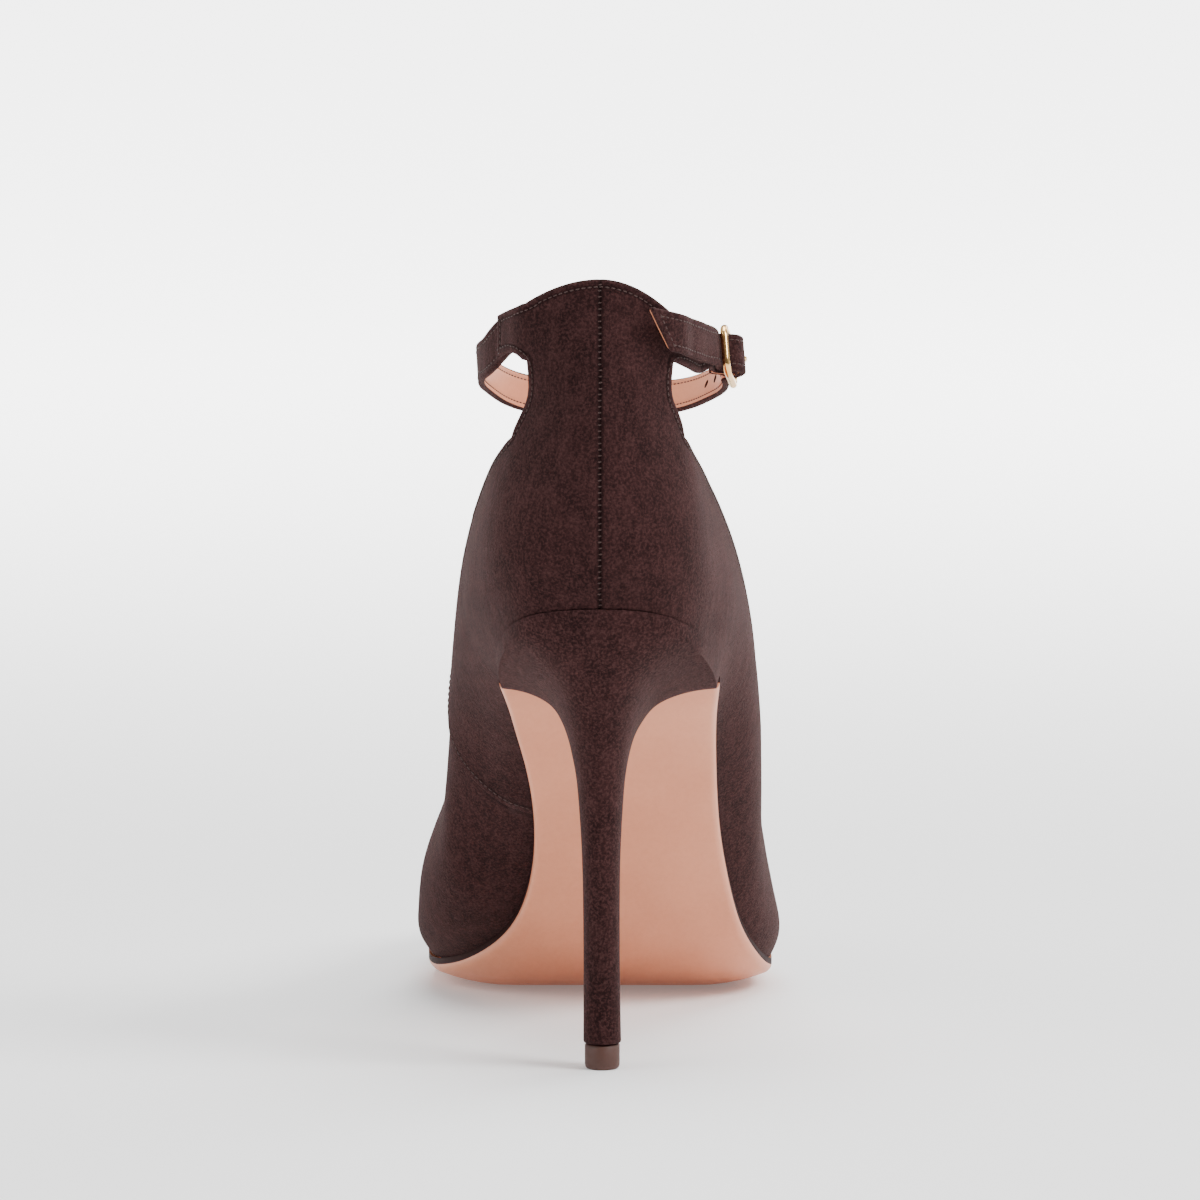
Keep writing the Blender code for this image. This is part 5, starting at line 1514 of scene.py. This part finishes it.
class Wire:
    """A node's socket that takes part in Python arithmetic."""

    def __init__(self, bench: "Bench", socket: bpy.types.NodeSocket) -> None:
        """Hold a socket of a bench's tree."""
        self.bench, self.socket = bench, socket

    def math(self, operation: str, *others: Any) -> "Wire":
        """Return the result of a Math node on this value and others."""
        return self.bench.wire("ShaderNodeMath", {"operation": operation}, [self, *others])

    def __add__(self, other: Any) -> "Wire":
        """Return the sum."""
        return self.math("ADD", other)

    def __radd__(self, other: Any) -> "Wire":
        """Return the sum."""
        return self.math("ADD", other)

    def __sub__(self, other: Any) -> "Wire":
        """Return the difference."""
        return self.math("SUBTRACT", other)

    def __rsub__(self, other: Any) -> "Wire":
        """Return the difference, the other way round."""
        return self.bench.wire("ShaderNodeMath", {"operation": "SUBTRACT"}, [other, self])

    def __mul__(self, other: Any) -> "Wire":
        """Return the product."""
        return self.math("MULTIPLY", other)

    def __rmul__(self, other: Any) -> "Wire":
        """Return the product."""
        return self.math("MULTIPLY", other)

    def ramp(self, low: float, high: float) -> "Wire":
        """Return a smooth step from 0 at low to 1 at high."""
        return self.bench.wire("ShaderNodeMapRange", {"interpolation_type": "SMOOTHSTEP"},
                               {"Value": self, "From Min": low, "From Max": high})

    def bell(self, middle: float, width: float) -> "Wire":
        """Return a bump of height one round a value."""
        return 1.0 - (self - middle).math("ABSOLUTE").ramp(0.0, width)


class Bench:
    """A material's node tree, on which finishes lay out their nodes."""

    def __init__(self, name: str) -> None:
        """Start a material with one Principled shader."""
        self.material = bpy.data.materials.new(name)
        self.material.use_nodes = True
        self.nodes = self.material.node_tree.nodes
        self.links = self.material.node_tree.links
        self.shader = self.nodes["Principled BSDF"]

    def node(self, kind: str, settings: dict[str, Any], values: Any) -> bpy.types.Node:
        """Add a node.

        Args:
            kind: its type.
            settings: properties that are set first.
            values: constants or wires for its inputs, by name or in order.
        """
        made = self.nodes.new(kind)
        for key, value in settings.items():
            setattr(made, key, value)
        pairs = values.items() if isinstance(values, dict) else enumerate(values)
        for key, value in pairs:
            if isinstance(value, Wire):
                self.links.new(value.socket, made.inputs[key])
            else:
                made.inputs[key].default_value = value
        return made

    def wire(self, kind: str, settings: dict[str, Any], values: Any, output: Any = 0) -> Wire:
        """Add a node and return one of its outputs."""
        return Wire(self, self.node(kind, settings, values).outputs[output])

    def place(self) -> Wire:
        """Return the point in the frame's axes."""
        return self.wire("ShaderNodeTexCoord", {}, {}, "Object")

    def axis(self, place: Wire, name: str) -> Wire:
        """Return one coordinate of a point."""
        return self.wire("ShaderNodeSeparateXYZ", {}, [place], name)

    def stretched(self, place: Wire, scale: tuple[float, float, float]) -> Wire:
        """Return a point with its axes scaled."""
        return self.wire("ShaderNodeVectorMath", {"operation": "MULTIPLY"}, [place, scale])

    def noise(self, place: Wire, scale: float, detail: float = 3.0, roughness: float = 0.55) -> Wire:
        """Return cloudy noise round 0.5."""
        return self.wire("ShaderNodeTexNoise", {}, {"Vector": place, "Scale": scale, "Detail": detail,
                                                    "Roughness": roughness})

    def blend(self, share: Wire, low: Any, high: Any) -> Wire:
        """Return a colour between two."""
        made = self.nodes.new("ShaderNodeMix")
        made.data_type = "RGBA"
        self.links.new(share.socket, made.inputs[0])
        for slot, colour in ((6, low), (7, high)):
            if isinstance(colour, Wire):
                self.links.new(colour.socket, made.inputs[slot])
            else:
                made.inputs[slot].default_value = (*colour, 1.0)
        return Wire(self, made.outputs[2])

    def attribute(self, name: str) -> Wire:
        """Return a number stored on the piece's points."""
        return self.wire("ShaderNodeAttribute", {"attribute_name": name}, {}, "Fac")

    def bump(self, height: Wire, strength: float, distance: float, below: Wire | None = None) -> Wire:
        """Return a normal roughened by a height."""
        values = {"Height": height, "Strength": strength, "Distance": distance}
        if below:
            values["Normal"] = below
        return self.wire("ShaderNodeBump", {}, values)

    def finish(self, wires: dict[str, Wire], constants: dict[str, Any]) -> bpy.types.Material:
        """Feed the shader and return the material."""
        for name, wire in wires.items():
            self.links.new(wire.socket, self.shader.inputs[name])
        for name, value in constants.items():
            self.shader.inputs[name].default_value = value
        return self.material


class Finish:
    """A finish whose material is made once."""

    def material(self) -> bpy.types.Material:
        """Return the material, made on first use."""
        return bpy.data.materials.get(self.name) or self.make()


@dataclass(frozen=True)
class Suede(Finish):
    """Brown suede with a short nap and brushed patches, paler worn edges, painted shade in the back seam's groove and
    along the stitch rows, and a painted highlight on the lap's edge.
    """

    name: str = "brown_suede"
    # Darkest tone of the nap, also used as the painted shade in the seam groove and along the stitch rows.
    deep_nap_and_shade: tuple[float, float, float] = (0.0085, 0.0026, 0.0028)
    body: tuple[float, float, float] = (0.0430, 0.0160, 0.0158)
    raised: tuple[float, float, float] = (0.0900, 0.0420, 0.0400)
    sheen: float = 0.09
    seam_x: float = -0.0005

    def make(self) -> bpy.types.Material:
        """Lay out the nodes."""
        bench = Bench(self.name)
        place = bench.place()
        patches = bench.noise(place, 75.0, 4.0, 0.6)
        strokes = bench.noise(bench.stretched(place, (1.0, 1.0, 0.45)), 420.0, 5.0, 0.65)
        nap = bench.noise(place, 1700.0, 3.0, 0.7)
        fine = bench.noise(place, 5200.0, 2.0, 0.6)
        height = nap * 0.7 + fine * 0.5 + strokes * 0.6
        shade = (patches.ramp(0.30, 0.70) * 0.22 + strokes.ramp(0.34, 0.66) * 0.30
                 + nap.ramp(0.34, 0.66) * 0.52 - 0.01)
        colour = bench.blend(shade, self.deep_nap_and_shade, self.body)
        edge = bench.attribute("edge_distance")
        # Paler edges: wear along the open edges, and a painted highlight on the lap's edge, where the upper sets its
        # edge distances small.
        worn = 1.0 - edge.ramp(0.0, 0.0009)
        is_shell = edge.ramp(0.0, 0.00002) + (1.0 - edge.ramp(0.0, 0.0009)) * 0.001
        rim = worn * edge.ramp(0.0, 0.00002) * nap.ramp(0.30, 0.62) * 0.22
        wall = is_shell.math("MINIMUM", 1.0)
        hairs = nap.ramp(0.44, 0.70) * (0.36 - wall * 0.12) + strokes.ramp(0.50, 0.72) * 0.07
        colour = bench.blend(rim + hairs, colour, self.raised)
        x, y = bench.axis(place, "X"), bench.axis(place, "Y")
        # Painted shade in the back seam's groove, on the upper's wall only.
        seam_shade = (x - self.seam_x).bell(0.0, 0.00115) * (1.0 - y.ramp(-0.006, -0.003))
        colour = bench.blend(seam_shade * wall * 0.85, colour, self.deep_nap_and_shade)
        # Painted shade along the stitch rows 1.5 mm in from the edges, and a painted shade line in front of the lap's
        # edge.
        row = edge.bell(0.0015, 0.0007) * wall
        colour = bench.blend(row * 0.72, colour, self.deep_nap_and_shade)
        normal = bench.bump(height, 0.60, 0.00040)
        rough = 0.86 + nap * 0.12
        return bench.finish(
            {"Base Color": colour, "Roughness": rough, "Normal": normal},
            {"Sheen Weight": self.sheen, "Sheen Roughness": 0.42, "Sheen Tint": (1.0, 0.66, 0.62, 1.0),
             "Specular IOR Level": 0.08})


@dataclass(frozen=True)
class Grained(Finish):
    """Smooth leather with a fine grain, soft clouds of colour and pores."""

    name: str
    body: tuple[float, float, float]
    shade: tuple[float, float, float]
    roughness: float
    grain: float = 900.0
    depth: float = 0.00005
    coat: float = 0.0
    scuffs: float = 0.0
    specular: float = 0.38

    def make(self) -> bpy.types.Material:
        """Lay out the nodes."""
        bench = Bench(self.name)
        place = bench.place()
        clouds = bench.noise(place, 38.0, 4.0)
        fibres = bench.noise(bench.stretched(place, (1.0, 0.22, 1.0)), 900.0, 4.0, 0.6)
        cells = bench.wire("ShaderNodeTexVoronoi", {"feature": "DISTANCE_TO_EDGE"},
                           {"Vector": place, "Scale": self.grain}, "Distance").ramp(0.0, 0.35)
        pores = bench.noise(place, self.grain * 2.3, 3.0)
        share = clouds.ramp(0.30, 0.72) * 0.55 + fibres.ramp(0.35, 0.70) * 0.25 + pores.ramp(0.3, 0.7) * 0.2
        colour = bench.blend(share, self.body, self.shade)
        rough = self.roughness + (pores - 0.5) * 0.10 + (clouds - 0.5) * 0.12
        height = cells * 0.6 + pores * 0.5
        if self.scuffs:
            strokes = bench.noise(bench.stretched(place, (1.0, 0.12, 1.0)), 1500.0, 3.0, 0.7).ramp(0.60, 0.72)
            y = bench.axis(place, "Y")
            tread = y.ramp(0.095, 0.120) * (1.0 - y.ramp(0.150, 0.185))
            colour = bench.blend(strokes * tread * self.scuffs, colour, tuple(0.7 * c for c in self.shade))
            rough = rough + strokes * tread * 0.12
        normal = bench.bump(height, 0.35, self.depth)
        return bench.finish({"Base Color": colour, "Roughness": rough, "Normal": normal},
                            {"Specular IOR Level": self.specular, "Coat Roughness": 0.35, "Coat Weight": self.coat})


@dataclass(frozen=True)
class Sewn(Finish):
    """Twisted sewing thread."""

    name: str = "brown_thread"
    body: tuple[float, float, float] = (0.030, 0.0140, 0.0130)
    light: tuple[float, float, float] = (0.092, 0.051, 0.044)

    def make(self) -> bpy.types.Material:
        """Lay out the nodes."""
        bench = Bench(self.name)
        place = bench.place()
        twist = bench.wire("ShaderNodeTexWave", {"bands_direction": "DIAGONAL"},
                           {"Vector": place, "Scale": 1500.0, "Distortion": 1.5})
        fibre = bench.noise(place, 5200.0, 2.0)
        colour = bench.blend(twist * 0.5 + fibre * 0.4, self.body, self.light)
        normal = bench.bump(twist * 0.7 + fibre * 0.3, 0.5, 0.00006)
        return bench.finish({"Base Color": colour, "Roughness": 0.55 + fibre * 0.2, "Normal": normal},
                            {"Specular IOR Level": 0.2, "Sheen Weight": 0.10})


@dataclass(frozen=True)
class Moulded(Finish):
    """Moulded rubber of the wearing tip, slightly worn under its edge."""

    name: str = "moulded_tip"
    body: tuple[float, float, float] = (0.062, 0.0225, 0.0150)
    worn: tuple[float, float, float] = (0.105, 0.046, 0.034)

    def make(self) -> bpy.types.Material:
        """Lay out the nodes."""
        bench = Bench(self.name)
        place = bench.place()
        mottle = bench.noise(place, 900.0, 4.0)
        fine = bench.noise(place, 5200.0, 2.0)
        low = 1.0 - bench.axis(place, "Z").ramp(0.0, 0.0012)
        colour = bench.blend(low * mottle.ramp(0.35, 0.6) * 0.6 + fine * 0.15, self.body, self.worn)
        normal = bench.bump(mottle * 0.4 + fine * 0.6, 0.35, 0.00005)
        return bench.finish({"Base Color": colour, "Roughness": 0.48 + mottle * 0.18, "Normal": normal},
                            {"Specular IOR Level": 0.45})


@dataclass(frozen=True)
class Plated(Finish):
    """Polished pale gold plating with hairlines."""

    name: str = "gold_plating"
    body: tuple[float, float, float] = (0.78, 0.43, 0.13)
    pale: tuple[float, float, float] = (0.90, 0.60, 0.28)

    def make(self) -> bpy.types.Material:
        """Lay out the nodes."""
        bench = Bench(self.name)
        place = bench.place()
        clouds = bench.noise(place, 260.0, 3.0)
        hair = bench.noise(bench.stretched(place, (1.0, 0.2, 0.35)), 5200.0, 3.0, 0.7)
        colour = bench.blend(clouds, self.body, self.pale)
        rough = 0.07 + hair * 0.08 + clouds * 0.04
        normal = bench.bump(hair, 0.12, 0.00002)
        return bench.finish({"Base Color": colour, "Roughness": rough, "Normal": normal}, {"Metallic": 1.0})


FINISHES: dict[Look, Finish] = {
    Look.SUEDE: Suede(),
    Look.LINING: Grained("nude_lining", (0.660, 0.262, 0.144), (0.570, 0.210, 0.110), 0.50, 1300.0, 0.00004),
    Look.SOLE: Grained("nude_sole", (0.690, 0.268, 0.147), (0.600, 0.215, 0.112), 0.42, 1700.0, 0.00002, 0.12,
                       0.30),
    Look.EDGE: Grained("painted_edge", (0.032, 0.0125, 0.0110), (0.019, 0.0070, 0.0065), 0.62, 2000.0, 0.00003,
                       specular=0.08),
    Look.THREAD: Sewn(),
    Look.TIP: Moulded(),
    Look.GOLD: Plated(),
}


@dataclass
class Studio:
    """Pale floor, soft lamps and the camera behind the heel."""

    camera_place: tuple[float, float, float] = (-0.0005, -2.5192, 0.4165)
    camera_pitch: float = 7.0526
    lens: float = 344.21
    floor_size: float = 16.0
    floor_glow: float = 4.5

    def camera(self) -> None:
        """Set the camera at the photo's angle."""
        data = bpy.data.cameras.new("camera")
        data.lens, data.sensor_width = self.lens, 36.0
        data.clip_end = 60.0
        eye = bpy.data.objects.new("camera", data)
        eye.location = self.camera_place
        eye.rotation_euler = (math.radians(90.0 - self.camera_pitch), 0.0, 0.0)
        bpy.context.scene.collection.objects.link(eye)
        bpy.context.scene.camera = eye

    def floor(self) -> None:
        """Lay the pale floor, which brightens away from the camera."""
        bench = Bench("floor")
        place = bench.place()
        away = bench.axis(place, "Y").ramp(0.25, 1.6)
        dust = bench.noise(place, 3.0, 2.0)
        colour = bench.blend(dust, (0.86, 0.86, 0.86), (0.88, 0.88, 0.88))
        bench.shader.inputs["Emission Strength"].default_value = self.floor_glow
        glow = bench.blend(away, (0.035, 0.035, 0.035), (1.0, 1.0, 1.0))
        bench.finish({"Base Color": colour, "Emission Color": glow},
                     {"Roughness": 0.85, "Specular IOR Level": 0.2})
        half = self.floor_size / 2
        corners = [(-half, -half, 0.0), (half, -half, 0.0), (half, half, 0.0), (-half, half, 0.0)]
        mesh = bpy.data.meshes.new("floor")
        mesh.from_pydata(corners, [], [(0, 1, 2, 3)])
        mesh.materials.append(bench.material)
        slab = bpy.data.objects.new("floor", mesh)
        bpy.context.scene.collection.objects.link(slab)

    def lamp(self, name: str, place: tuple[float, float, float], size: float, watts: float,
             tint: tuple[float, float, float] = (1.0, 1.0, 1.0)) -> None:
        """Hang a square soft lamp that faces the shoe."""
        data = bpy.data.lights.new(name, "AREA")
        data.size, data.energy, data.color = size, watts, tint
        thing = bpy.data.objects.new(name, data)
        thing.location = place
        thing.rotation_euler = (Vector((0.0, 0.04, 0.09)) - Vector(place)).to_track_quat("-Z", "Y").to_euler()
        bpy.context.scene.collection.objects.link(thing)

    @staticmethod
    def soften(tree: bpy.types.NodeTree) -> None:
        """Make the surroundings darker behind the camera, as a studio's open side is."""
        where, split = tree.nodes.new("ShaderNodeTexCoord"), tree.nodes.new("ShaderNodeSeparateXYZ")
        ramp = tree.nodes.new("ShaderNodeMapRange")
        ramp.interpolation_type = "SMOOTHSTEP"
        for name, value in (("From Min", -1.0), ("From Max", -0.1), ("To Min", 0.30), ("To Max", 1.35)):
            ramp.inputs[name].default_value = value
        tree.links.new(where.outputs["Generated"], split.inputs[0])
        tree.links.new(split.outputs["Y"], ramp.inputs["Value"])
        tree.links.new(ramp.outputs[0], tree.nodes["Background"].inputs["Color"])

    def lamps(self) -> None:
        """Light from the right and above, with weaker fills."""
        self.lamp("key", (1.25, -0.55, 1.45), 0.75, 40.0)
        self.lamp("fill", (-1.6, -0.6, 1.0), 1.2, 14.0)
        self.lamp("top", (0.1, 0.45, 1.9), 1.4, 46.0)
        self.lamp("behind", (1.0, 1.4, 0.9), 0.8, 10.0)
        world = bpy.data.worlds.new("studio")
        world.use_nodes = True
        world.node_tree.nodes["Background"].inputs["Color"].default_value = (1.0, 1.0, 1.0, 1.0)
        world.node_tree.nodes["Background"].inputs["Strength"].default_value = 0.50
        self.soften(world.node_tree)
        bpy.context.scene.world = world


def main() -> None:
    """Load the frame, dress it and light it."""
    logging.basicConfig(level=logging.INFO, format="%(name)s: %(message)s")
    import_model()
    last = Last()
    fastening = Fastening(last)
    bottom = Bottom(last)
    bottom.outsole()
    bottom.insole()
    bottom.heel()
    bottom.tip()
    sewing = Upper(last, fastening).build()
    AnkleStrap(fastening).build(sewing)
    buckle = Buckle(fastening)
    buckle.frame()
    buckle.prong()
    sewing.build("stitches")
    studio = Studio()
    studio.camera()
    studio.floor()
    studio.lamps()


if __name__ == "__main__":
    main()
